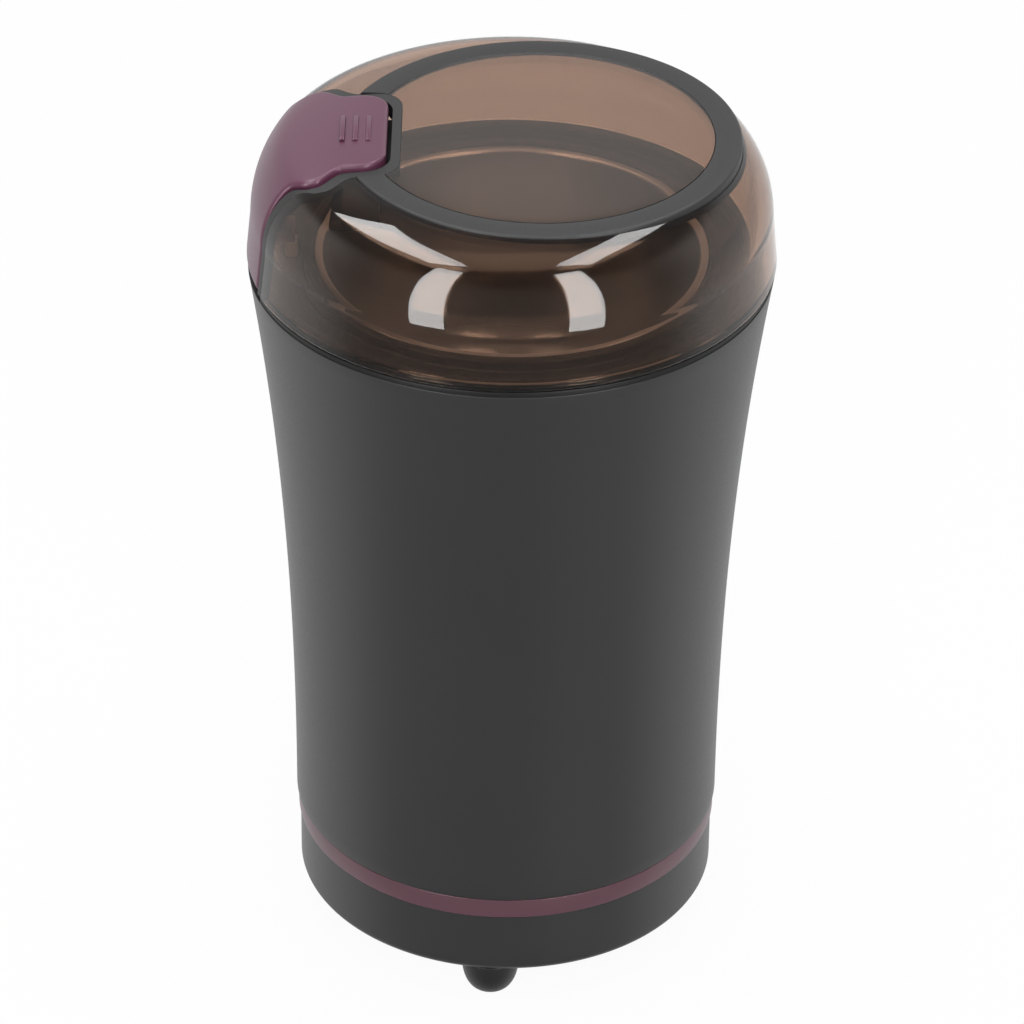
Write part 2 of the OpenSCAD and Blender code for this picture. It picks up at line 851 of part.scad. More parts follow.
module stator_core() {
    color("#6d6f73")
        translate([0, 0, stack_z])
            linear_extrude(height = stack_h)
                difference() {
                    circle(r = stator_r);
                    circle(r = stator_bore_r);
                    for (side = [-1, 1])
                        for (edge = [-1, 1])
                            translate([side * (coil_x + coil_t / 2),
                                       edge * (pole_half + coil_side / 2)])
                                square([coil_t + 2 * coil_fit, coil_side + 2 * coil_fit],
                                       center = true);
                    around(2, 90)
                        translate([pillar_circle_r, 0])
                            circle(r = screw_hole_r);
                }
}

module field_coils() {
    coil_half = pole_half + coil_side;
    color("#a5562b")
        for (side = [0, 180])
            rotate(side)
                difference() {
                    box([coil_x, -coil_half, stack_z - coil_fit - coil_end],
                        [coil_x + coil_t, coil_half, stack_top_z + coil_fit + coil_end]);
                    box([coil_x - cut, -pole_half, stack_z - coil_fit],
                        [coil_x + coil_t + cut, pole_half, stack_top_z + coil_fit]);
                }
}

module brush_holders() {
    half_w = brush_w / 2 + fit;
    half_h = brush_h / 2 + fit;
    color("#c2a25a")
        for (side = [0, 180])
            rotate(side)
                difference() {
                    union() {
                        box([holder_x, -half_w - holder_wall, brush_z - half_h - holder_wall],
                            [holder_x + holder_l + holder_wall, half_w + holder_wall,
                             brush_z + half_h + holder_wall]);
                        box([holder_x + 3, -half_w, bracket_top_z],
                            [holder_x + holder_l, half_w, brush_z - half_h]);
                    }
                    box([holder_x - cut, -half_w, brush_z - half_h],
                        [holder_x + holder_l, half_w, brush_z + half_h]);
                }
}

module carbon_brushes() {
    color("#3c3c3e")
        for (side = [0, 180])
            rotate(side)
                box([brush_x, -brush_w / 2, brush_z - brush_h / 2],
                    [brush_x + brush_l, brush_w / 2, brush_z + brush_h / 2]);
}

module brush_springs() {
    wire_d = 0.5;
    color("#9a9c9f")
        for (side = [0, 180])
            rotate(side)
                translate([brush_x + brush_l + fit, 0, brush_z])
                    rotate([0, 90, 0])
                        coil_spring(brush_w / 2 - wire_d, wire_d, 4, brush_spring_l);
}

module switch_bracket() {
    inner_y = switch_l / 2 + slip;
    outer_y = inner_y + leg_w;
    low_z = switch_top_z - switch_h;
    high_z = deck_z - deck_t;
    color("#4a4a4c")
        difference() {
            union() {
                for (side = [-1, 1])
                    box([-leg_x - leg_t, side > 0 ? inner_y : -outer_y, low_z - 1],
                        [-leg_x, side > 0 ? outer_y : -inner_y, high_z - foot_plate_t + fit]);
                box([-leg_x - leg_t, -outer_y, high_z - foot_plate_t], [-leg_x, outer_y, high_z]);
                box([-rod_x - rod_r, -rod_r - 1.8, shelf_z - shelf_t],
                    [-leg_x, rod_r + 1.8, shelf_z]);
                box([-leg_x - leg_t, -outer_y, shelf_z - shelf_t], [-leg_x, outer_y, shelf_z]);
                box([-leg_x - leg_t, -outer_y, low_z - 1.5], [-leg_x, outer_y, low_z]);
                box([-switch_x - switch_w, 1 - switch_l / 2, low_z - 1.5],
                    [-leg_x, switch_l / 2 - 1, low_z]);
            }
            translate([-rod_x, 0, 0]) {
                rod(rod_r + fit, shelf_z - shelf_t - cut, shelf_z + cut);
                rod(rod_flange_r + touch_gap, high_z - foot_plate_t - cut, high_z + cut);
            }
            for (side = [-1, 1])
                translate([-leg_x - leg_t / 2, side * (inner_y + leg_w / 2), 0]) {
                    rod(stake_r + fit, high_z - foot_plate_t - cut, high_z + cut);
                    rod(stake_r + 0.6 + slip, high_z - foot_plate_t - 1, high_z - foot_plate_t);
                }
            terminal_places()
                box([-1, -1.6, -3], [1, 1.6, 1]);
        }
}

// Places of the switch's three terminals, at the foot of its case
module terminal_places() {
    for (y = [-4, 0, 4])
        translate([-switch_x - switch_w / 2, y, switch_top_z - switch_h])
            children();
}

module switch_case() {
    lug_h = leaf_z - leaf_t / 2 - switch_top_z;
    color("#1f2023")
        difference() {
            union() {
                box([-switch_x - switch_w, -switch_l / 2, switch_top_z - switch_h],
                    [-switch_x, switch_l / 2, switch_top_z]);
                for (x = [-switch_x - switch_w, -switch_x - lug_t])
                    box([x, leaf_arm - leaf_eye_r, switch_top_z - fit],
                        [x + lug_t, switch_l / 2, switch_top_z + lug_h + 1]);
                translate([-leaf_x, leaf_arm, leaf_z - leaf_t / 2])
                    rotate([0, 90, 0])
                        rod(leaf_pin_r, -switch_w / 2 + lug_t / 2, switch_w / 2 - lug_t / 2);
            }
            translate([-leaf_x, plunger_arm, 0])
                rod(plunger_r + fit, switch_top_z - 2.5, switch_top_z + cut);
        }
}

module switch_terminals() {
    color("#c8a24a")
        terminal_places()
            box([-0.4, -1.3, -5], [0.4, 1.3, 0]);
}

module rod_spring() {
    color("#a7a9ac")
        translate([-rod_x, 0, shelf_z])
            coil_spring(rod_r + touch_gap + rod_wire_d / 2, rod_wire_d, rod_curls, rod_spring_h);
}

// Places where the switch's two leads go up past the motor carrier
module wire_places() {
    for (side = [-1, 1])
        translate([-wire_x, side * wire_side, 0])
            children();
}

// Place at an angle and a radius
function place(angle, r, z) = [r * cos(angle), r * sin(angle), z];

// Leads from the gland to the switch, from the switch to one brush, and from the gland to the other
module lead_wires() {
    terminal = [-switch_x - switch_w / 2, 0, switch_top_z - switch_h - 5 - slip];
    tail = [0, 0, wire_d];
    up_wall = [0, 0, stack_z - 6];
    rise = [
        for (z = [bracket_top_z + 4, stack_z, stack_top_z, carrier_z - 4, carrier_top_z])
            [-wire_x, 0, z]
    ];
    bend = (terminal + [-wire_x, 0, carrier_top_z + 3]) / 2;
    shift = [0, wire_side, 0];
    holder_end = holder_x + holder_l + holder_wall;
    live = concat(
        [[-wire_d, wire_mouth_y, gland_z], [-wire_d * 2, wire_floor_r, wire_floor_z]],
        [for (a = [115, 135, 155]) place(a, wire_floor_r, wire_floor_z)],
        [place(168, wire_floor_r + 2, wire_floor_z + 4),
         [-wire_x, wire_side, bracket_z]],
        [for (p = rise) p + shift],
        [bend + shift, terminal + shift - tail, terminal + shift]
    );
    switched = concat(
        [terminal - shift, terminal - shift - tail, bend - shift],
        [for (p = reversed(rise)) if (p[2] > up_wall[2]) p - shift],
        [[-wire_x, -wire_side, up_wall[2]],
         [-wire_wall_r + 2, -wire_side / 2, brush_z + 1],
         [-holder_end - touch_gap, 0, brush_z]]
    );
    neutral = concat(
        [[wire_d, wire_mouth_y, gland_z]],
        [for (a = [75, 55]) place(a, wire_floor_r, wire_floor_z)],
        [place(42, wire_wall_r - 1, bracket_z - 3),
         place(38, wire_wall_r - 1, bracket_top_z + 1),
         [holder_end - 1, 13, brush_z - 2],
         [holder_end - 2.5, brush_w / 2 + fit + holder_wall + slip, brush_z]]
    );
    color("#8c2f2a")
        sweep(curve(live, 3), wire_d, 8);
    color("#8c2f2a")
        sweep(curve(switched, 3), wire_d, 8);
    color("#2f4f8c")
        sweep(curve(neutral, 3), wire_d, 8);
}

module motor_shaft() {
    color("#aeb1b4")
        rod(shaft_r, shaft_z, shaft_top_z);
}

module armature_core() {
    color("#777a7e")
        translate([0, 0, stack_z])
            linear_extrude(height = stack_h)
                difference() {
                    circle(r = armature_r);
                    circle(r = shaft_r);
                    around(armature_slots, 0) {
                        translate([armature_r - 1.8 * armature_slot_r, 0])
                            circle(r = armature_slot_r);
                        translate([armature_r - 0.75 * armature_slot_r, 0])
                            square([2 * armature_slot_r, 1.4], center = true);
                    }
                }
}

module armature_windings() {
    inner_r = shaft_r + 1.5;
    outer_r = armature_r - 1.5;
    round_r = 2.5;
    color("#a9602f")
        for (z = [stack_top_z, stack_z - winding_h])
            rotate_extrude()
                polygon([
                    [inner_r, z],
                    [outer_r - round_r, z],
                    for (a = [-60 : 30 : 60])
                        [outer_r - round_r * (1 - cos(a)), z + winding_h / 2
                         + (winding_h / 2) * sin(a)],
                    [outer_r - round_r, z + winding_h],
                    [inner_r, z + winding_h]
                ]);
}

module commutator() {
    color("#b87333")
        translate([0, 0, commutator_z])
            linear_extrude(height = commutator_h)
                difference() {
                    circle(r = commutator_r);
                    circle(r = shaft_r);
                    around(armature_slots, 15)
                        translate([commutator_r, 0])
                            square([2.4, 0.5], center = true);
                }
}

module thrust_washers() {
    color("#d9d2bd") {
        tube(bush_r - 1, shaft_r + fit, bush_z - washer_gap - washer_t, bush_z - washer_gap);
        tube(bush_r - 1, shaft_r + fit, lower_bush_z + bush_h + washer_gap,
             lower_bush_z + bush_h + washer_gap + washer_t);
    }
}

module blade_hub() {
    color("#1b1b1c")
        difference() {
            union() {
                rod(hub_r, hub_z, blade_z - 1.5);
                translate([0, 0, blade_z - 1.5])
                    cylinder(r1 = hub_r, r2 = hub_r - 1.5, h = 1.5);
            }
            rod(shaft_r, hub_z - cut, blade_z + cut);
        }
}

module grinding_blade() {
    flat_half = 8;
    disc_r = 7.2;
    half_l = blade_l / 2;
    half_w = blade_w / 2;
    rise = (half_l - flat_half) * tan(blade_lift);
    thick = blade_t / cos(blade_lift);
    inner = flat_half - blade_t * tan(blade_lift / 2);
    color("#c9ccce")
        difference() {
            intersection() {
                translate([0, 0, blade_z])
                    rotate([90, 0, 0])
                        linear_extrude(height = 4 * disc_r, center = true)
                            polygon([[-half_l, rise], [-flat_half, 0], [flat_half, 0],
                                     [half_l, rise], [half_l, rise + thick], [inner, blade_t],
                                     [-inner, blade_t], [-half_l, rise + thick]]);
                translate([0, 0, blade_z - cut])
                    linear_extrude(height = rise + thick + 2 * cut) {
                        circle(r = disc_r);
                        polygon([[half_l * 0.82, -half_w], [half_l - fit, blade_w * 0.05],
                                 [half_l - fit, half_w], [-half_l * 0.82, half_w],
                                 [fit - half_l, -blade_w * 0.05], [fit - half_l, -half_w]]);
                    }
            }
            rod(shaft_r, blade_z - cut, blade_z + blade_t + cut);
        }
}

module blade_nut() {
    nut_z = blade_z + blade_t;
    color("#b4b7ba")
        difference() {
            union() {
                translate([0, 0, nut_z])
                    cylinder(r = nut_r, h = nut_h - 1.5, $fn = 6);
                rod(nut_r * 0.8, nut_z, nut_z + nut_h);
            }
            rod(shaft_r, nut_z - cut, shaft_top_z);
        }
}

// The ring's room: flat on top, and below it sunk into the lid's shoulder
module ring_seat(grow, high_z) {
    difference() {
        translate([ring_offset, 0, 0])
            tube(ring_r + grow, ring_r - ring_w - grow, seam_z + shoulder_h, high_z);
        dome(ring_t + grow, ring_t + grow, lid_z - cut);
    }
}

module lid_shell() {
    color("#8a6b58", 0.6)
        difference() {
            lid_skin();
            button_prism(button_gap + strip_w + fit, lid_z - cut, top_z + cut);
            ring_seat(fit, top_z + cut);
        }
}

module window_ring() {
    color("#2c2e2f")
        difference() {
            ring_seat(-fit, top_z);
            button_prism(button_gap + strip_w + fit, lid_z, top_z + cut);
        }
}

module button_guide() {
    inner_y = tip_half + button_gap;
    outer_y = inner_y + strip_w;
    color("#333536")
        difference() {
            union() {
                intersection() {
                    lid_skin();
                    button_prism(button_gap + strip_w, lid_z - cut, top_z + cut);
                }
                intersection() {
                    union() {
                        for (side = [-1, 1])
                            box([-stem_x - yoke_w / 2, side > 0 ? inner_y : -outer_y, yoke_z],
                                [-stem_x + yoke_w / 2, side > 0 ? outer_y : -inner_y, top_z]);
                        box([-stem_x - yoke_w / 2, -outer_y, yoke_z],
                            [-stem_x + yoke_w / 2, outer_y, yoke_z + yoke_t]);
                    }
                    dome(slip, slip, lid_z);
                }
            }
            difference() {
                button_prism(button_gap, lid_z - cut, top_z + cut);
                rod(lid_r, lid_z - 2 * cut, yoke_z + yoke_t);
            }
            difference() {
                button_prism(button_gap, lid_z - 2 * cut, yoke_z + yoke_t + cut);
                box([-stem_x - yoke_w / 2, -outer_y, yoke_z],
                    [-stem_x + yoke_w / 2, outer_y, yoke_z + yoke_t]);
            }
            translate([-stem_x, 0, 0])
                rod(stem_r + touch_gap, yoke_z - cut, yoke_z + yoke_t + cut);
        }
}

module button_spring() {
    color("#a7a9ac")
        translate([-stem_x, 0, yoke_z + yoke_t])
            coil_spring(button_spring_r, button_wire_d, button_curls,
                        yoke_depth - yoke_t - button_t - fit);
}

module push_button() {
    plate_z = lid_z + plate_raise;
    foot_z = rod_top_z + touch_gap;
    foot_half = rod_r + 1.6;
    color("#6b4058")
        difference() {
            union() {
                intersection() {
                    difference() {
                        dome(0, -button_proud, lid_z);
                        dome(button_t, button_t, lid_z - cut);
                    }
                    button_prism(0, plate_z, top_z + button_proud + cut);
                }
                intersection() {
                    dome(0, 0, lid_z);
                    box([-lid_r, -foot_half, foot_z],
                        [-rod_x + rod_r, foot_half, foot_z + 2.4]);
                }
                translate([-stem_x, 0, 0])
                    rod(stem_r, stem_end_z, top_z - button_t + fit);
                for (i = [0 : grip_bars - 1])
                    translate([-tip_x - 3.4 - i * grip_pitch, 0, top_z + button_proud])
                        box([-grip_bar_w / 2, -grip_bar_l / 2, -fit],
                            [grip_bar_w / 2, grip_bar_l / 2, grip_rise]);
            }
            translate([-stem_x, 0, 0])
                rod(pilot_r - 0.3, stem_end_z - cut, stem_end_z + 6.2);
            rod(spigot_r + lid_fit, lid_z - cut, seam_z + spigot_h + button_travel + seat_gap);
        }
}

module button_screw() {
    color("#8d8f92")
        translate([-stem_x, 0, 0]) {
            rod(stem_r + 1.2, stem_end_z - 1.6, stem_end_z);
            rod(pilot_r - 0.3 - fit, stem_end_z - fit, stem_end_z + 6);
        }
}

module switch_rod() {
    color("#d8d4c8")
        translate([-rod_x, 0, 0]) {
            rod(rod_r, rod_end_z + rod_tip_l, rod_top_z);
            rod(rod_flange_r, rod_flange_z, rod_flange_z + rod_flange_t);
            rod(rod_tip_r, rod_end_z, rod_end_z + rod_tip_l + fit);
        }
}

module switch_leaf() {
    color("#bfc2c5")
        difference() {
            union() {
                box([-leaf_x - leaf_w / 2, 0, leaf_z - leaf_t],
                    [-leaf_x + leaf_w / 2, leaf_arm, leaf_z]);
                box([-leaf_reach, -leaf_tail, leaf_z - leaf_t],
                    [-leaf_x + leaf_w / 2, rod_tip_r + 0.6, leaf_z]);
                translate([-leaf_x, leaf_arm, leaf_z - leaf_t / 2])
                    rotate([0, 90, 0])
                        rod(leaf_eye_r, -leaf_w / 2, leaf_w / 2);
            }
            translate([-leaf_x, leaf_arm, leaf_z - leaf_t / 2])
                rotate([0, 90, 0])
                    rod(leaf_pin_r + fit, -leaf_w / 2 - cut, leaf_w / 2 + cut);
        }
}

module switch_plunger() {
    color("#b23a32")
        translate([-leaf_x, plunger_arm, 0])
            rod(plunger_r, switch_top_z - 1.6, leaf_z - leaf_t - touch_gap);
}

body_shell();
trim_band();
base_cover();
rubber_feet();
base_screws();
cord_gland();
bowl_collar();
grinding_bowl();
shaft_seal();
motor_carrier();
carrier_screws();
upper_bush();
lower_bush();
lower_bracket();
motor_screws();
stator_core();
field_coils();
brush_holders();
carbon_brushes();
brush_springs();
switch_bracket();
switch_case();
switch_terminals();
rod_spring();
lead_wires();
motor_shaft();
armature_core();
armature_windings();
commutator();
thrust_washers();
blade_hub();
grinding_blade();
blade_nut();
lid_shell();
window_ring();
button_guide();
button_spring();
push_button();
button_screw();
switch_rod();
switch_leaf();
switch_plunger();
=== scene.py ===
"""Looks of the electric coffee grinder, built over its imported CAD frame."""

import math

import bmesh
import bpy
from mathutils import Matrix, Vector
from mathutils.bvhtree import BVHTree
from mathutils.interpolate import poly_3d_calc


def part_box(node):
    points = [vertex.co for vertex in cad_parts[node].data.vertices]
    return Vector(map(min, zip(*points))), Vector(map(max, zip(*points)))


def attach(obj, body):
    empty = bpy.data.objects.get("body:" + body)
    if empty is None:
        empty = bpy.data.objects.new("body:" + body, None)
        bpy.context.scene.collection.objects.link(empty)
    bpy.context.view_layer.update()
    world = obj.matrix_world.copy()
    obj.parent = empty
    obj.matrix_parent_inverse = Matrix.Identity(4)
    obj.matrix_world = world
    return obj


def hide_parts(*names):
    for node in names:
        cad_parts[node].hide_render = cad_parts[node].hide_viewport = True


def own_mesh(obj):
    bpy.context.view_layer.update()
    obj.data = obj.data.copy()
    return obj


bl_info = {
    "name": "Coffee grinder looks",
    "version": (1, 0, 0),
    "blender": (4, 5, 0),
    "location": "View3D > Sidebar > Grinder",
    "description": "Builds the pieces, finishes and stage of an electric coffee grinder",
    "category": "Add Mesh",
}

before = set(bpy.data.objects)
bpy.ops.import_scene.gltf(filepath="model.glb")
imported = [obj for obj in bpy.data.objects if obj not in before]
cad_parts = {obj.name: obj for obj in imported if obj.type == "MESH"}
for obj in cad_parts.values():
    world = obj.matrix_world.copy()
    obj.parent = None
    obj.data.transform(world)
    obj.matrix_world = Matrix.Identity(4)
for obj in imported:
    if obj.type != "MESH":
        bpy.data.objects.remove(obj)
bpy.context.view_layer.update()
MM = 0.001
TURN = 2 * math.pi
MERGE = 0.5e-6  # new vertices nearer than this are one
CAD_MERGE = 2e-6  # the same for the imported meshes
SHARP = 32  # degrees: keener edges stay sharp
SPRING_SHARP = 60  # the same for round wire
SMOOTH_TURNS = 192  # steps round the turned pieces
LID_TURNS = 288  # steps round the lid, whose gloss shows each facet
FIT = 0.05 * MM  # play between two pieces that meet
STEM_X = -28 * MM  # where the button's stem, spring and yoke stand
FIRST_FOOT = math.radians(-94.4)
FIRST_SCREW = math.radians(8)
WHITE = (1, 1, 1, 1)

BODY_LOW, BODY_HIGH = (corner.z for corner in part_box("body_shell"))
BAND_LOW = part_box("trim_band")[0].z
BASE_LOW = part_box("base_cover")[0].z
SEAM = BODY_HIGH + 1.0 * MM
LID_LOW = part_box("lid_shell")[0].z
LID_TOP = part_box("window_ring")[1].z
COLLAR_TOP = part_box("bowl_collar")[1].z
BOWL_LOW, BOWL_TOP = (corner.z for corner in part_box("grinding_bowl"))
YOKE = LID_TOP - 11.5 * MM


def linear(code):
    """Linear colour with alpha of an sRGB hex code."""
    parts = [int(code[i : i + 2], 16) / 255 for i in (1, 3, 5)]
    return [c / 12.92 if c <= 0.04045 else ((c + 0.055) / 1.055) ** 2.4 for c in parts] + [1.0]


def length(label, about, value):
    """A length property in metres, its default given in millimetres."""
    return bpy.props.FloatProperty(
        name=label, description=about, default=value * MM, unit="LENGTH", precision=5
    )


def colour(label, about, code):
    """A colour property, its default given as an sRGB hex code."""
    return bpy.props.FloatVectorProperty(
        name=label, description=about, default=linear(code), size=4, min=0, max=1, subtype="COLOR"
    )


class GrinderSizes(bpy.types.PropertyGroup):
    """Sizes of the pieces that are made anew"""

    body_low_r: length("Body foot radius", "Radius of the body at its lower edge", 40.9)
    body_high_r: length("Body top radius", "Radius of the body at its upper edge", 48.7)
    body_wall: length("Body wall", "Thickness of the body shell", 2.4)
    flare: bpy.props.FloatProperty(name="Flare", description="How late the body flares", default=2.3)
    band_r: length("Band radius", "Radius of the coloured band", 40.55)
    base_r: length("Base radius", "Radius of the base cover", 40.2)
    base_edge: length("Base edge", "Rounding of the base's lower edge", 1.6)
    base_floor: length("Base floor", "Thickness of the base's floor", 2.4)
    screw_circle: length("Screw circle", "Radius of the base screws' circle", 35.5)
    spigot_r: length("Spigot radius", "Radius of the rim inside the lid", 46.9)
    spigot_h: length("Spigot height", "Height of that rim above the seam", 1.0)
    rod_x: length("Rod reach", "From the centre line to the switch rod", 41.625)
    lid_r: length("Lid radius", "Radius of the lid at its lower edge", 49.0)
    lid_wall: length("Lid wall", "Thickness of the lid", 2.8)
    lid_draft: length("Lid draft", "How far the lid's side leans in", 0.9)
    shoulder_h: length("Shoulder height", "Start of the lid's rounding above the seam", 9.5)
    shoulder_r: length("Shoulder radius", "Where the lid's rounding would end", 36.0)
    top_slope: bpy.props.FloatProperty(
        name="Top slope", description="Fall of the top outside the ring",
        default=math.radians(12), subtype="ANGLE",
    )
    crease: length("Crease", "Softness of the top's crease at the shoulder", 1.5)
    ring_r: length("Ring radius", "Outer radius of the window ring", 36.9)
    ring_w: length("Ring width", "Width of the window ring", 5.1)
    ring_t: length("Ring seat", "Depth of the ring's seat in the lid", 1.4)
    ring_off: length("Ring offset", "From the centre line to the ring's centre", 5.1)
    tip_x: length("Tip reach", "From the centre line to the button's tip", 22.9)
    tip_half: length("Tip half width", "Half the tip's width", 13.4)
    ear_half: length("Ear half width", "Half the width over the ears", 17.0)
    side_half: length("Side half width", "Half the side plate's width", 15.7)
    tip_corner: length("Tip corner", "Rounding of the tip's corners", 5.0)
    ear_start: length("Ear start", "From the tip to where the ears widen", 7.8)
    ear_full: length("Ear full", "From the tip to the ears' full width", 13.0)
    ear_end: length("Ear end", "From the tip to where the ears narrow", 14.2)
    side_start: length("Side start", "From the tip to the side plate", 17.6)
    button_gap: length("Button gap", "Gap round the button", 0.4)
    tip_gap: length("Tip gap", "Gap before the button's tip", 0.8)
    button_proud: length("Button proud", "Height of the button's top above the lid", 1.1)
    button_t: length("Button skin", "Thickness of the button's skin", 2.4)
    button_edge: length("Button edge", "Rounding of the button's edges", 0.8)
    plate_raise: length("Plate raise", "Height of the side plate above the lid's edge", 0.5)
    strip_w: length("Strip width", "Width of the strip round the button", 1.7)
    bowl_r: length("Bowl radius", "Inner radius of the grinding bowl", 35.0)
    bowl_t: length("Bowl steel", "Thickness of the bowl's steel", 0.8)
    bowl_corner: length("Bowl corner", "Inner corner radius of the bowl", 12.0)
    foot_r: length("Foot radius", "Widest radius of a rubber foot", 5.5)
    foot_flat: length("Foot flat", "Radius of a foot's flat sole", 2.5)
    foot_stem: length("Foot stem", "Radius of a foot's stem in the base", 1.3)
    foot_circle: length("Foot circle", "Radius of the feet's circle", 33.9)
    foot_count: bpy.props.IntProperty(name="Feet", description="Number of rubber feet", default=3)


class GrinderFinish(bpy.types.PropertyGroup):
    """Colours of the finishes"""

    body: colour("Body", "Satin black ABS of the body and the base", "#2A2A2B")
    # The collar's black, darker than the body's, is partly its own colour and partly painted shade for the
    # seam line under the lid
    collar: colour("Collar", "Black ABS of the collar under the lid", "#151515")
    ring: colour("Ring", "Dark grey ABS of the window ring and the strip", "#1F1F20")
    plum: colour("Plum", "Plum ABS of the button", "#63344C")
    band: colour("Band", "Plum ABS of the band, a little greyer than the button", "#5E3C47")
    smoke: colour("Smoke", "Tint of the clear lid through one wall", "#CCB4A3")
    rubber: colour("Rubber", "Black rubber of the feet and the gland", "#1E1E1E")
    steel: colour("Steel", "Stainless steel of the bowl and the blade", "#B6B7B8")
    floor: colour("Floor", "Pale floor", "#F4F4F4")


def sizes():
    return bpy.context.scene.grinder_sizes


def finish():
    return bpy.context.scene.grinder_finish


# Meshes


def bevel(bm, geom, offset, segments=2, affect="EDGES", clamp=False):
    """Rounds edges or corners of a mesh."""
    bmesh.ops.bevel(
        bm, geom=geom, offset=offset, offset_type="OFFSET", segments=segments, profile=0.5, affect=affect,
        clamp_overlap=clamp, material=-1,
    )


def wire_loop(bm, corners):
    """A closed loop of edges in the XZ plane, its corners rounded where a radius is given."""
    verts = [bm.verts.new((c[0], 0, c[1])) for c in corners]
    bm.faces.new(verts)
    marked = {}
    for v, (_, _, *radius) in zip(verts, corners):
        if any(radius):
            marked.setdefault(radius[0], []).append(v)
    for radius in sorted(marked):
        bevel(bm, [v for v in marked[radius] if v.is_valid], radius, 5, "VERTICES")
    bmesh.ops.delete(bm, geom=list(bm.faces), context="FACES_ONLY")


def lathe(corners, steps=SMOOTH_TURNS, centre=(0, 0, 0)):
    """A closed shape turned about an upright axis, from the corners of its section."""
    bm = bmesh.new()
    wire_loop(bm, corners)
    bmesh.ops.spin(
        bm, geom=list(bm.verts) + list(bm.edges), cent=(0, 0, 0), axis=(0, 0, 1), dvec=(0, 0, 0), angle=TURN,
        steps=steps, use_merge=True,
    )
    bmesh.ops.remove_doubles(bm, verts=bm.verts, dist=MERGE)
    bmesh.ops.delete(bm, geom=[e for e in bm.edges if not e.link_faces], context="EDGES")
    bmesh.ops.translate(bm, verts=bm.verts, vec=centre)
    return bm


def quarter(centre, wide, tall, steps):
    """Points of a quarter ellipse from its side up to its top, or down to its foot where tall is negative."""
    for i in range(steps + 1):
        a = math.pi / 2 * i / steps
        yield centre[0] + wide * math.cos(a), centre[1] + tall * math.sin(a)


def shade(mesh, sharp=SHARP):
    """Smooth shading up to an angle in degrees."""
    mesh.shade_smooth()
    mesh.set_sharp_from_angle(angle=math.radians(sharp))


def new_object(name, bm):
    """The mesh as an object at the origin."""
    mesh = bpy.data.meshes.new(name)
    bm.to_mesh(mesh)
    bm.free()
    obj = bpy.data.objects.new(name, mesh)
    bpy.context.scene.collection.objects.link(obj)
    return obj


def settle(name, bm, key, sharp=SHARP):
    """The mesh as an object with merged vertices, outward faces, smooth shading and a finish."""
    bmesh.ops.remove_doubles(bm, verts=bm.verts, dist=MERGE)
    bmesh.ops.recalc_face_normals(bm, faces=bm.faces)
    obj = new_object(name, bm)
    shade(obj.data, sharp)
    obj.data.materials.append(FINISHES[key])
    return obj


def place(obj, body, node):
    """The object takes the place of a CAD node on its body."""
    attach(obj, body)
    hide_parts(node)
    return obj


def piece(node, bm, key, body, sharp=SHARP):
    """The mesh as the visible piece of a CAD node."""
    return place(settle(node + "_piece", bm, key, sharp), body, node)


def node_mesh(node):
    """A copy of a CAD node's mesh with its doubled vertices merged."""
    bm = bmesh.new()
    bm.from_mesh(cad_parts[node].data)
    bmesh.ops.remove_doubles(bm, verts=bm.verts, dist=CAD_MERGE)
    return bm


def dressed(node, key, body, edge=0.0, sharp=SHARP):
    """A copy of a CAD node with merged, smooth faces and softened edges."""
    bm = node_mesh(node)
    bmesh.ops.dissolve_limit(
        bm, angle_limit=math.radians(1), use_dissolve_boundaries=False, verts=bm.verts, edges=bm.edges
    )
    if edge:
        keen = [e for e in bm.edges if len(e.link_faces) == 2 and e.calc_face_angle(0) > math.radians(40)]
        bevel(bm, keen, edge, clamp=True)
    return piece(node, bm, key, body, sharp)


def carve(obj, bm, keep=False):
    """Cuts a closed shape out of an object, or keeps only what lies inside it."""
    bmesh.ops.recalc_face_normals(bm, faces=bm.faces)
    cutter = new_object("cutter", bm)
    step = obj.modifiers.new("carve", "BOOLEAN")
    step.object = cutter
    step.operation = "INTERSECT" if keep else "DIFFERENCE"
    step.solver = "EXACT"
    bpy.context.view_layer.update()
    done = bpy.data.meshes.new_from_object(obj.evaluated_get(bpy.context.evaluated_depsgraph_get()))
    obj.modifiers.remove(step)
    used = obj.data, cutter.data
    obj.data = done
    bpy.data.objects.remove(cutter)
    for mesh in used:
        bpy.data.meshes.remove(mesh)
    shade(done)


# Cosines of the angles up to which two faces count as one soft surface, and a cut face as part of the old one
SOFT_EDGE = 0.85
SAME_SURFACE = 0.9


def add_inside(obj, node, room):
    """Adds what a CAD node has within a room, such as posts and ledges, to the piece that takes its place."""
    part = settle("inside", node_mesh(node), "body")
    carve(part, room, keep=True)
    bm = bmesh.new()
    bm.from_mesh(obj.data)
    bm.from_mesh(part.data)
    bm.to_mesh(obj.data)
    bm.free()
    bpy.data.objects.remove(part)
    shade(obj.data)


def soft_corners(face):
    """Smooth normals at a face's corners: only faces across soft edges count, each by its area."""
    normals = []
    for v in face.verts:
        soft = [f for f in v.link_faces if f.normal.dot(face.normal) > SOFT_EDGE]
        normals.append(sum((f.normal * f.calc_area() for f in soft), Vector()).normalized())
    return normals


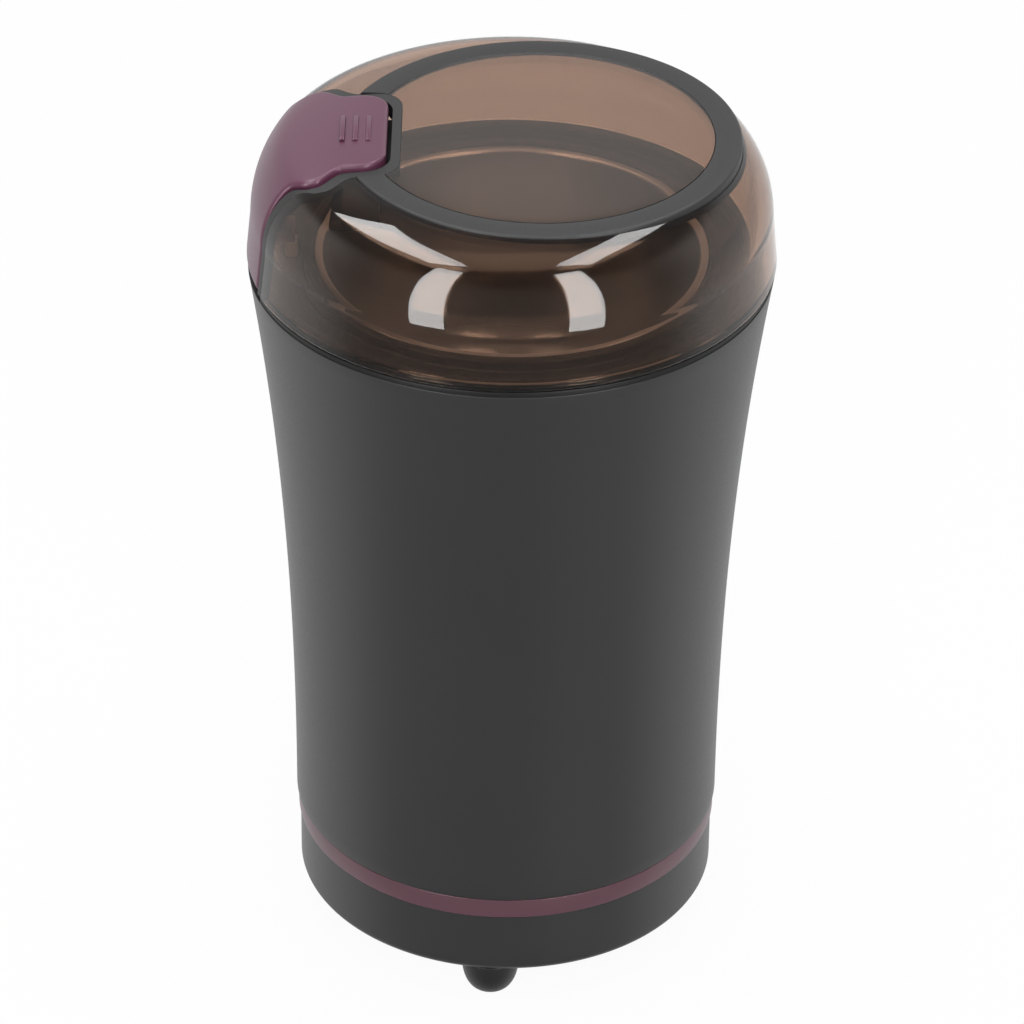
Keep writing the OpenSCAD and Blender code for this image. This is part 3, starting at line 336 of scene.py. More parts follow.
def keep_normals(obj, bm, cut_key=None):
    """Gives what is left of a surface its old smooth normals, and the cut faces their own material."""
    bmesh.ops.recalc_face_normals(bm, faces=bm.faces)
    bm.normal_update()
    bm.faces.ensure_lookup_table()
    tree = BVHTree.FromBMesh(bm)
    mesh = obj.data
    if cut_key:
        mesh.materials.append(FINISHES[cut_key])
    normals = [corner.vector.copy() for corner in mesh.corner_normals]
    known = {}
    for face in mesh.polygons:
        _, flat, _, away = tree.find_nearest(face.center)
        if away > 0.02 * MM or flat.dot(face.normal) < SAME_SURFACE:
            face.material_index = len(mesh.materials) - 1
            continue
        for i in face.loop_indices:
            spot = mesh.vertices[mesh.loops[i].vertex_index].co
            # A point moved a little into the face finds the old face on the right side of a crease
            _, flat, index, _ = tree.find_nearest(spot.lerp(face.center, 0.02))
            if flat.dot(face.normal) > SAME_SURFACE:
                if index not in known:
                    known[index] = soft_corners(bm.faces[index])
                weights = poly_3d_calc([v.co for v in bm.faces[index].verts], spot)
                blend = sum((way * w for way, w in zip(known[index], weights)), Vector())
                normals[i] = blend.normalized() if blend.length else face.normal
    mesh.normals_split_custom_set(normals)
    bm.free()


def prism(outline, low=LID_LOW - 5 * MM, high=LID_TOP + 5 * MM):
    """An upright prism with a given outline, by default right through the lid."""
    bm = bmesh.new()
    face = bm.faces.new([bm.verts.new((x, y, low)) for x, y in outline])
    made = bmesh.ops.extrude_face_region(bm, geom=[face])["geom"]
    raised = [v for v in made if isinstance(v, bmesh.types.BMVert)]
    bmesh.ops.translate(bm, verts=raised, vec=(0, 0, high - low))
    return bm


def block(bm, low, high, edge):
    """A box with rounded edges, added to a mesh."""
    low, high = Vector(low), Vector(high)
    where = Matrix.Translation((low + high) / 2) @ Matrix.Diagonal((*(high - low), 1))
    made = bmesh.ops.create_cube(bm, size=1, matrix=where)["verts"]
    bevel(bm, list({e for v in made for e in v.link_edges}), edge)


def rod(bm, spot, low, high, radius, segments=48):
    """An upright round rod at a spot in the plan, added to a mesh."""
    bmesh.ops.create_cone(
        bm, cap_ends=True, segments=segments, radius1=radius, radius2=radius, depth=high - low,
        matrix=Matrix.Translation((*spot, (low + high) / 2)),
    )


def around(circle, start, count):
    """Spots in the plan at equal steps round a circle."""
    for k in range(count):
        a = start + TURN * k / count
        yield circle * math.cos(a), circle * math.sin(a)


def coil(foot, mean_r, wire_r, curls, height):
    """A coil spring on its foot point: a round of wire spun up about its axis."""
    bm = bmesh.new()
    steps = 24 * curls
    turn = Matrix.Translation(foot + Vector((mean_r, 0, wire_r))) @ Matrix.Rotation(math.pi / 2, 4, "X")
    ring = bmesh.ops.create_circle(bm, cap_ends=True, segments=10, radius=wire_r, matrix=turn)["verts"]
    faces = list({f for v in ring for f in v.link_faces})
    bmesh.ops.spin(
        bm, geom=ring + faces + list({e for v in ring for e in v.link_edges}), cent=foot, axis=(0, 0, 1),
        dvec=(0, 0, (height - 2 * wire_r) / steps), angle=TURN * curls, steps=steps,
    )
    return bm


# The lid's outside: a turned dome whose top falls away from the off-centre ring


def soft_min(a, b, width):
    """The lower of two heights, with a rounded change between them."""
    near = max(width - abs(a - b), 0) / width
    return min(a, b) - near * near * width / 4


def top_fall(x, y, drop):
    """Height of the sloped top at a place, lowered by a drop."""
    s = sizes()
    away = math.hypot(x - s.ring_off, y) - s.ring_r
    return LID_TOP - drop - math.tan(s.top_slope) * away


def shoulder(inset, drop, steps=36):
    """Section of the lid's shoulder, from its side up to its flat top."""
    s = sizes()
    low = SEAM + s.shoulder_h
    wide = s.lid_r - s.lid_draft - inset - s.shoulder_r
    return list(quarter((s.shoulder_r, low), wide, LID_TOP - drop - low, steps))


def lid_flat(height):
    """Section of the lid's flat top, from the shoulder in to the centre line."""
    return [(sizes().shoulder_r * i / 18, height) for i in range(17, -1, -1)]


def dome(drop):
    """The room inside the lid's outer surface, with that surface moved in by a drop."""
    s = sizes()
    corners = [(0, SEAM), (s.lid_r - drop, SEAM)] + shoulder(drop, drop)
    bm = lathe(corners + lid_flat(LID_TOP - drop), LID_TURNS)
    for v in bm.verts:
        v.co.z = soft_min(v.co.z, top_fall(v.co.x, v.co.y, drop), s.crease)
    return bm


def ring_seat(grow, edge, high):
    """The window ring's room: flat on top, and below it sunk into the lid's shoulder."""
    s = sizes()
    low = SEAM + s.shoulder_h
    seat = settle("ring_seat", lathe([
        (s.ring_r - s.ring_w - grow, low), (s.ring_r + grow, low),
        (s.ring_r + grow, high, edge), (s.ring_r - s.ring_w - grow, high, edge / 3),
    ], 256, (s.ring_off, 0, 0)), "ring")
    carve(seat, dome(s.ring_t + grow))
    return seat


def lid_solid():
    """The whole lid before the button's notch and the ring's groove are cut."""
    s = sizes()
    seat = SEAM + s.spigot_h + 0.2 * MM
    bore = s.lid_r - 1.8 * MM
    corners = [(bore, LID_LOW, 0.3 * MM), (s.lid_r, LID_LOW, 0.5 * MM)]
    corners += shoulder(0, 0) + lid_flat(LID_TOP)
    corners += (shoulder(s.lid_wall, s.lid_wall) + lid_flat(LID_TOP - s.lid_wall))[::-1]
    corners += [(s.lid_r - s.lid_wall, seat), (bore, seat)]
    bm = lathe(corners, LID_TURNS)
    for v in bm.verts:
        x, y, z = v.co
        r = math.hypot(x, y)
        inner = r < s.lid_r - s.lid_draft - s.lid_wall / 2 and z < inner_limit(r)
        v.co.z = soft_min(z, top_fall(x, y, s.lid_wall if inner else 0), s.crease)
    return bm


def inner_limit(r):
    """Height halfway through the lid's wall at a radius, which parts inside from outside."""
    s = sizes()
    half = s.lid_wall / 2
    middle = LID_TOP - half
    if r <= s.shoulder_r:
        return middle
    low = SEAM + s.shoulder_h
    share = (r - s.shoulder_r) / (s.lid_r - s.lid_draft - half - s.shoulder_r)
    return low + (middle - low) * math.sqrt(max(0, 1 - share * share))


def smooth(t):
    """A soft step from 0 to 1."""
    t = min(1, max(0, t))
    return t * t * (3 - 2 * t)


def button_half(back):
    """Half width of the button at a distance back from its tip."""
    s = sizes()
    c = s.tip_corner
    if back < c:
        return s.tip_half - c + math.sqrt(max(0, c * c - (c - back) ** 2))
    ears = smooth((back - s.ear_start) / (s.ear_full - s.ear_start)) * (s.ear_half - s.tip_half)
    sides = smooth((back - s.ear_end) / (s.side_start - s.ear_end)) * (s.side_half - s.ear_half)
    return s.tip_half + ears + sides


def button_edge_line(grow):
    """One side of the button's outline from the tip back, grown by a margin."""
    s = sizes()
    backs = [s.tip_corner * (1 - math.cos(math.pi / 2 * i / 10)) for i in range(11)]
    backs += [s.ear_start + (s.side_start - s.ear_start) * i / 32 for i in range(33)]
    backs.append(s.lid_r - s.tip_x + 4 * MM)
    wider = s.tip_gap - s.button_gap
    return [
        (grow - s.tip_x - b + wider * (1 - smooth(b / s.ear_start)), button_half(b) + grow)
        for b in backs
    ]


def button_outline(grow):
    """The button's whole outline, grown by a margin."""
    side = button_edge_line(grow)
    return [(x, -y) for x, y in side] + side[::-1]


def strip_outline(inner, outer):
    """The band between two outlines of the button, open at the lid's side."""
    wide = button_edge_line(outer)
    slim = button_edge_line(inner)
    return [(x, -y) for x, y in wide[::-1]] + wide + slim[::-1] + [(x, -y) for x, y in slim]


# Finishes


def add_node(tree, kind, links=(), **settings):
    """Adds a node with its settings, socket values and links."""
    made = tree.nodes.new(kind)
    for key, value in settings.items():
        setattr(made, key, value)
    for key, value in dict(links).items():
        if isinstance(value, bpy.types.NodeSocket):
            tree.links.new(value, made.inputs[key])
        else:
            made.inputs[key].default_value = value
    return made


def maths(tree, operation, first, second):
    """The result of two sockets or numbers."""
    return add_node(tree, "ShaderNodeMath", {0: first, 1: second}, operation=operation).outputs["Value"]


def mix_shaders(tree, share, first, second):
    """A blend of two shaders."""
    return add_node(tree, "ShaderNodeMixShader", {0: share, 1: first, 2: second}).outputs["Shader"]


def empty_tree(owner):
    """The node tree of a material or world, with nothing in it."""
    owner.use_nodes = True
    owner.node_tree.nodes.clear()
    return owner.node_tree


def new_material(name):
    """An empty material with its output, its shader and Object coordinates."""
    material = bpy.data.materials.new(name)
    tree = empty_tree(material)
    shader = add_node(tree, "ShaderNodeBsdfPrincipled")
    add_node(tree, "ShaderNodeOutputMaterial", {"Surface": shader.outputs["BSDF"]})
    where = add_node(tree, "ShaderNodeTexCoord").outputs["Object"]
    return material, tree, shader, where


def noise(tree, where, size_mm, **more):
    """Noise with patches of a real size."""
    values = {"Vector": where, "Scale": 1 / (size_mm * MM), **more}
    return add_node(tree, "ShaderNodeTexNoise", values).outputs["Fac"]


def map_range(tree, value, start, end, low, high, **kind):
    """Moves a value from the range start to end into the range low to high."""
    ends = {"From Min": start, "From Max": end, "To Min": low, "To Max": high}
    return add_node(tree, "ShaderNodeMapRange", {"Value": value, **ends}, **kind).outputs["Result"]


def vary_gloss(tree, shader, value, low, high):
    """Lets a noise move the roughness between two values."""
    gloss = map_range(tree, value, 0.3, 0.7, low, high)
    tree.links.new(gloss, shader.inputs["Roughness"])


def add_bump(tree, shader, value, depth_mm, strength):
    """Makes a noise a relief of a real depth."""
    values = {"Height": value, "Distance": depth_mm * MM, "Strength": strength}
    bump = add_node(tree, "ShaderNodeBump", values)
    tree.links.new(bump.outputs["Normal"], shader.inputs["Normal"])


def moulded(name, base, rough, grain_mm, depth_mm, spec=0.5):
    """Moulded plastic: the tool's fine grain breaks the gloss, and the tone drifts a little."""
    material, tree, shader, where = new_material(name)
    grain = noise(tree, where, grain_mm, Detail=2.0, Roughness=0.6)
    drift = noise(tree, where, 35, Detail=3.0)
    dark, light = ([min(1, c * share) for c in base[:3]] + [1] for share in (0.94, 1.06))
    mixed = add_node(tree, "ShaderNodeMix", {0: drift, 6: dark, 7: light}, data_type="RGBA")
    tree.links.new(mixed.outputs[2], shader.inputs["Base Color"])
    vary_gloss(tree, shader, grain, rough - 0.04, rough + 0.04)
    add_bump(tree, shader, grain, depth_mm, 0.35)
    shader.inputs["Specular IOR Level"].default_value = spec
    return material


def turned_steel(name, base, rough, line_mm):
    """Steel polished on a lathe: fine rings round the axis that spread the gloss across them."""
    material, tree, shader, where = new_material(name)
    apart = add_node(tree, "ShaderNodeSeparateXYZ", {"Vector": where})
    flat = add_node(tree, "ShaderNodeCombineXYZ", {"X": apart.outputs["X"], "Y": apart.outputs["Y"]})
    out = add_node(tree, "ShaderNodeVectorMath", {0: flat.outputs["Vector"]}, operation="LENGTH")
    path = add_node(tree, "ShaderNodeCombineXYZ", {"X": out.outputs["Value"], "Z": apart.outputs["Z"]})
    lines = noise(tree, path.outputs["Vector"], line_mm, Detail=3.0)
    shader.inputs["Base Color"].default_value = base
    shader.inputs["Metallic"].default_value = 1.0
    vary_gloss(tree, shader, lines, rough - 0.07, rough + 0.07)
    add_bump(tree, shader, lines, 0.01, 0.12)
    return material


def plain_metal(name, code, rough, blotch_mm):
    """Plated or sintered metal: even colour with faint blotches in its gloss."""
    material, tree, shader, where = new_material(name)
    blotch = noise(tree, where, blotch_mm, Detail=4.0)
    shader.inputs["Base Color"].default_value = linear(code)
    shader.inputs["Metallic"].default_value = 1.0
    vary_gloss(tree, shader, blotch, rough - 0.1, rough + 0.1)
    return material


SMOKE_DEPTH = 0.7  # share of the lid's tint that grows with the way through the wall


def smoke_san(name, tint):
    """Clear SAN with a smoke-brown dye: a hard wet gloss, darker where the wall is seen edge on."""
    material, tree, shader, where = new_material(name)
    shader.inputs["Base Color"].default_value = [c ** (1 - SMOKE_DEPTH) for c in tint[:3]] + [1]
    shader.inputs["Transmission Weight"].default_value = 1.0
    shader.inputs["IOR"].default_value = 1.5
    vary_gloss(tree, shader, noise(tree, where, 14, Detail=1.0), 0.015, 0.04)
    # The dye's own share of the tint, per metre of wall
    dye = [-math.log(c) * SMOKE_DEPTH / sizes().lid_wall for c in tint[:3]]
    left = [1 - d / max(dye) for d in dye] + [1]
    body = add_node(tree, "ShaderNodeVolumeAbsorption", {"Density": max(dye), "Color": left})
    out = next(n for n in tree.nodes if n.type == "OUTPUT_MATERIAL")
    tree.links.new(body.outputs["Volume"], out.inputs["Volume"])
    return material


FINISHES = {}


class GRINDER_OT_finishes(bpy.types.Operator):
    """Makes the materials of all pieces"""

    bl_idname = "grinder.finishes"
    bl_label = "Finishes"

    def execute(self, context):
        f = finish()
        # Name, colour, roughness, grain width and depth in mm, specular level where it isn't 0.5.
        # The body's grain is finer than a pixel, so it is drawn about 0.35 mm wide to show as a satin sheen.
        plastics = {
            "body": ("satin black ABS, fine spark grain", f.body, 0.42, 0.35, 0.02),
            # The collar's darker black is partly painted shade: it makes the seam under the lid read as a
            # shadow line
            "collar": ("black ABS, satin tool", f.collar, 0.45, 0.5, 0.008, 0.3),
            "ring": ("dark grey ABS, matt tool", f.ring, 0.5, 0.3, 0.02),
            "plum": ("plum ABS, satin tool", f.plum, 0.36, 0.3, 0.012),
            "band": ("greyed plum ABS, satin tool", f.band, 0.36, 0.3, 0.012),
            "rubber": ("black nitrile rubber, moulded", f.rubber, 0.45, 0.4, 0.02, 0.4),
            "carbon": ("pressed carbon", linear("#2B2B2D"), 0.55, 0.2, 0.03),
            "nylon": ("natural nylon", linear("#DAD4C6"), 0.45, 0.5, 0.01),
            "red": ("red acetal", linear("#A3352E"), 0.35, 0.4, 0.01),
            "wire": ("PVC wire sleeve", linear("#7E2C28"), 0.4, 0.6, 0.01),
        }
        # Name, colour, roughness, width of the blotches in mm
        metals = {
            "zinc": ("zinc-plated steel", "#A9ABAE", 0.35, 1.5),
            "bronze": ("sintered bronze", "#A07A48", 0.5, 0.4),
            "brass": ("rolled brass strip", "#C9A75A", 0.3, 2.0),
            "copper": ("enamelled copper wire", "#A85A30", 0.4, 0.6),
            "iron": ("stacked lamination steel", "#6A6D70", 0.5, 0.5),
        }
        FINISHES.update((key, moulded(*look)) for key, look in plastics.items())
        FINISHES.update((key, plain_metal(*look)) for key, look in metals.items())
        FINISHES["smoke"] = smoke_san("smoke-brown SAN, polished tool", f.smoke)
        FINISHES["steel"] = turned_steel("stainless steel, turned polish", f.steel, 0.33, 0.25)
        return {"FINISHED"}


class GRINDER_OT_body(bpy.types.Operator):
    """Makes the body shell, flared towards its top"""

    bl_idname = "grinder.body"
    bl_label = "Body shell"

    def execute(self, context):
        s = sizes()
        steps = 44
        wider, taller = s.body_high_r - s.body_low_r, BODY_HIGH - BODY_LOW
        shares = [i / steps for i in range(steps + 1)]
        outside = [(s.body_low_r + wider * t**s.flare, BODY_LOW + taller * t) for t in shares]
        edge, depth = 0.12 * MM, 0.2 * MM
        corners = [(*outside[0], edge)] + outside[1:-1] + [(*outside[-1], edge)]
        skin = s.body_wall - depth
        corners += [(r - skin, z) for r, z in outside[::-1]]
        obj = settle("body_shell_piece", lathe(corners), "body")
        carve(obj, prism(button_outline(s.button_gap), BODY_HIGH - depth, BODY_HIGH + 5 * MM))
        room = [(r - skin + depth, z) for r, z in outside[1:-1]]
        add_inside(obj, "body_shell", lathe([(0, room[0][1])] + room + [(0, room[-1][1])]))
        place(obj, "housing", "body_shell")
        return {"FINISHED"}


class GRINDER_OT_base(bpy.types.Operator):
    """Makes the trim band and the base cover"""

    bl_idname = "grinder.base"
    bl_label = "Base and band"

    def execute(self, context):
        s = sizes()
        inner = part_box("base_cover")[1].y - 2.0 * MM
        edge = 0.15 * MM
        gap = 0.2 * MM
        corners = [
            (inner, BAND_LOW + gap), (s.band_r, BAND_LOW + gap, edge), (s.band_r, BODY_LOW - 2 * gap, edge),
            (inner, BODY_LOW - 2 * gap),
        ]
        piece("trim_band", lathe(corners), "band", "housing")
        floor = BASE_LOW + s.base_floor
        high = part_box("base_cover")[1].z
        top = BAND_LOW - edge
        side = BASE_LOW + s.base_edge
        round_edge = list(quarter((s.base_r - s.base_edge, side), s.base_edge, -s.base_edge, 12))
        corners = [(0, BASE_LOW)] + round_edge[::-1]
        corners += [(s.base_r, side + (top - side) * i / 6) for i in range(1, 7)]
        corners += [
            (s.base_r - edge, BAND_LOW), (inner, BAND_LOW), (inner, high), (inner - 2 * MM, high),
            (inner - 2 * MM, floor - gap), (0, floor - gap),
        ]
        base = settle("base_cover_piece", lathe(corners), "body")
        cuts = bmesh.new()
        over = 1 * MM
        for spot in around(s.foot_circle, FIRST_FOOT, s.foot_count):
            rod(cuts, spot, BASE_LOW - over, floor + over, s.foot_stem + FIT)
        head_h, head_r = 2.15 * MM, 2.95 * MM
        for spot in around(s.screw_circle, FIRST_SCREW, 3):
            rod(cuts, spot, BASE_LOW - over, BASE_LOW + head_h + over, head_r)
        vents, vent_l, vent_w = 10, 9 * MM, 2.6 * MM
        out = s.foot_circle - s.foot_r - 3 * MM
        spot = Matrix.Translation((out - vent_l / 2, 0, BASE_LOW + s.base_floor / 2))
        size = Matrix.Diagonal((vent_l, vent_w, s.base_floor + 2 * over, 1))
        for k in range(vents):
            turn = Matrix.Rotation(TURN * k / vents, 4, "Z")
            bmesh.ops.create_cube(cuts, size=1, matrix=turn @ spot @ size)
        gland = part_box("cord_gland")
        spot = Matrix.Translation((0, s.base_r, (gland[0].z + gland[1].z) / 2))
        inlet_r = 4.15 * MM
        bmesh.ops.create_cone(
            cuts, cap_ends=True, segments=64, radius1=inlet_r, radius2=inlet_r, depth=16 * MM,
            matrix=spot @ Matrix.Rotation(math.pi / 2, 4, "X"),
        )
        carve(base, cuts)
        room = inner - 1.8 * MM
        add_inside(base, "base_cover", lathe([
            (0, floor - 2 * gap), (room, floor - 2 * gap), (room, high - gap), (0, high - gap),
        ]))
        place(base, "housing", "base_cover")
        return {"FINISHED"}


class GRINDER_OT_feet(bpy.types.Operator):
    """Makes the rubber feet"""

    bl_idname = "grinder.feet"
    bl_label = "Rubber feet"

    def execute(self, context):
        s = sizes()
        high = BASE_LOW - FIT
        barb = BASE_LOW + s.base_floor
        stem = s.foot_stem
        round_h = 0.8 * BASE_LOW
        corners = [(0, 0)] + list(quarter((s.foot_flat, round_h), s.foot_r - s.foot_flat, -round_h, 12))[::-1]
        corners += [
            (s.foot_r, high, 0.2 * MM), (stem, high), (stem, barb), (stem + 0.55 * MM, barb),
            (stem - 0.4 * MM, barb + 2 * MM), (0, barb + 2 * MM),
        ]
        bm = bmesh.new()
        for spot in around(s.foot_circle, FIRST_FOOT, s.foot_count):
            one = lathe(corners, 48, (*spot, 0))
            part = bpy.data.meshes.new("foot")
            one.to_mesh(part)
            one.free()
            bm.from_mesh(part)
            bpy.data.meshes.remove(part)
        piece("rubber_feet", bm, "rubber", "housing")
        return {"FINISHED"}


class GRINDER_OT_bowl(bpy.types.Operator):
    """Makes the collar and the steel bowl"""

    bl_idname = "grinder.bowl"
    bl_label = "Collar and bowl"

    def execute(self, context):
        s = sizes()
        self.collar()
        out = s.bowl_r + s.bowl_t
        lip = out + 1.0 * MM
        hole = 7.0 * MM
        low = BOWL_LOW + s.bowl_t
        c = s.bowl_corner
        corners = [
            (lip, BOWL_TOP - s.bowl_t, 0.3 * MM), (lip, BOWL_TOP, 0.3 * MM), (s.bowl_r, BOWL_TOP, 0.6 * MM),
        ]
        corners += [(s.bowl_r, BOWL_TOP - 4 * MM * i) for i in range(1, 8)]
        centre = s.bowl_r - c, low + c
        corners += list(quarter(centre, c, -c, 16)) + [(hole, low), (hole, BOWL_LOW)]
        corners += list(quarter(centre, c + s.bowl_t, -c - s.bowl_t, 16))[::-1]
        corners.append((out, BOWL_TOP - s.bowl_t))
        piece("grinding_bowl", lathe(corners), "steel", "housing")
        dressed("shaft_seal", "rubber", "housing", 0.2 * MM)
        return {"FINISHED"}

    def collar(self):
        """The collar: the flange under the lid, the rim inside the lid, the deck and the bowl's ring."""
        s = sizes()
        deck = BODY_HIGH
        spigot, skirt = s.spigot_r - 2.6 * MM, s.spigot_r - 1.35 * MM
        near, far = 36.95 * MM, 38.95 * MM
        ledge = near - 1.0 * MM
        obj = settle("bowl_collar_piece", lathe([
            (ledge, SEAM - 2.2 * MM), (ledge, SEAM, 0.2 * MM), (near, SEAM), (near, COLLAR_TOP, 0.4 * MM),
            (far, COLLAR_TOP, 0.4 * MM), (far, deck, 0.5 * MM), (spigot, deck, 0.5 * MM),
            (spigot, SEAM + s.spigot_h, 0.3 * MM), (s.spigot_r, SEAM + s.spigot_h, 0.3 * MM),
            (s.spigot_r, SEAM), (s.body_high_r - 0.2 * MM, SEAM, 0.2 * MM),
            (s.body_high_r - 0.2 * MM, deck), (skirt, deck),
            (skirt, deck - 4 * MM, 0.3 * MM), (spigot, deck - 4 * MM), (spigot, deck - 2 * MM),
            (near, deck - 2 * MM), (near, SEAM - 2.2 * MM),
        ]), "collar")
        # The notch under the button's side plate, open outwards
        wide, inner = s.side_half + s.button_gap, s.spigot_r + FIT
        reach = math.asin(wide / inner)
        turns = [reach * (i / 12 - 1) for i in range(25)]
        outline = [(-inner * math.cos(a), inner * math.sin(a)) for a in turns]
        outline += [(-54 * MM, wide), (-54 * MM, -wide)]
        carve(obj, prism(outline, deck - 0.2 * MM, SEAM + 2 * MM))
        hole = bmesh.new()
        rod(hole, (-s.rod_x, 0), deck - 4 * MM, deck + 2 * MM, 1.55 * MM)
        carve(obj, hole)
        place(obj, "housing", "bowl_collar")


class GRINDER_OT_blade(bpy.types.Operator):
    """Makes the blade with its hub and nut"""

    bl_idname = "grinder.blade"
    bl_label = "Blade"

    def execute(self, context):
        dressed("grinding_blade", "steel", "rotor", 0.15 * MM)
        dressed("blade_nut", "steel", "rotor", 0.3 * MM)
        dressed("blade_hub", "collar", "rotor", 0.25 * MM)
        return {"FINISHED"}


class GRINDER_OT_lid(bpy.types.Operator):
    """Makes the clear lid with its notch and groove"""

    bl_idname = "grinder.lid"
    bl_label = "Lid"

    def execute(self, context):
        s = sizes()
        notch = button_outline(s.button_gap + s.strip_w + FIT)
        lid = settle("lid_shell_piece", lid_solid(), "smoke")
        carve(lid, prism(notch))
        seat = ring_seat(FIT, 0, LID_TOP + 3 * MM)
        groove = bmesh.new()
        groove.from_mesh(seat.data)
        bpy.data.objects.remove(seat)
        carve(lid, groove)
        keep_normals(lid, lid_solid(), "ring")
        place(lid, "lid", "lid_shell")

        ring = ring_seat(-FIT, 0.6 * MM, LID_TOP)
        ring.name = ring.data.name = "window_ring_piece"
        carve(ring, prism(notch))
        place(ring, "lid", "window_ring")
        return {"FINISHED"}


class GRINDER_OT_guide(bpy.types.Operator):
    """Makes the dark strip round the button and the yoke that carries its spring"""

    bl_idname = "grinder.guide"
    bl_label = "Button guide"

    def execute(self, context):
        s = sizes()
        strip = settle("button_guide_piece", lid_solid(), "ring")
        outline = strip_outline(s.button_gap, s.button_gap + s.strip_w)
        carve(strip, prism(outline), keep=True)
        keep_normals(strip, lid_solid())
        bm = bmesh.new()
        bm.from_mesh(strip.data)
        near = s.tip_half + s.button_gap
        far = near + s.strip_w
        under = LID_TOP - s.lid_wall + 0.6 * MM
        edge = 0.3 * MM
        # Two arms hang from the strip and carry the yoke, which is bored for the button's stem
        for side in (-1, 1):
            ends = sorted((side * near, side * far))
            block(bm, (STEM_X - 2.4 * MM, ends[0], YOKE), (STEM_X + 4.5 * MM, ends[1], under), edge)
        bar = bmesh.new()
        ends, half = far - 0.1 * MM, 4.4 * MM
        block(bar, (STEM_X - half, -ends, YOKE + 0.1 * MM), (STEM_X + half, ends, YOKE + 1.8 * MM), edge)
        bar = settle("yoke", bar, "ring")
        bore = bmesh.new()
        reach, bore_r = 4 * MM, 2.35 * MM
        rod(bore, (STEM_X, 0), YOKE - reach, YOKE + reach, bore_r)
        carve(bar, bore)
        bm.from_mesh(bar.data)
        bpy.data.objects.remove(bar)
        # A dark lip under the gap at the tip: painted shade, a dark piece that stands in for the shade down
        # in the gap
        front, low, wide = s.tip_gap - s.tip_x, LID_TOP - s.lid_wall, s.tip_half - 2.4 * MM
        for ahead, top in ((0, 0.3 * MM), (1.7 * MM, -0.3 * MM)):
            start = front - ahead, -wide, low - 1.6 * MM
            block(bm, start, (front + s.strip_w, wide, low + top), 0.2 * MM)
        bm.to_mesh(strip.data)
        bm.free()
        shade(strip.data)
        place(strip, "lid", "button_guide")
        return {"FINISHED"}


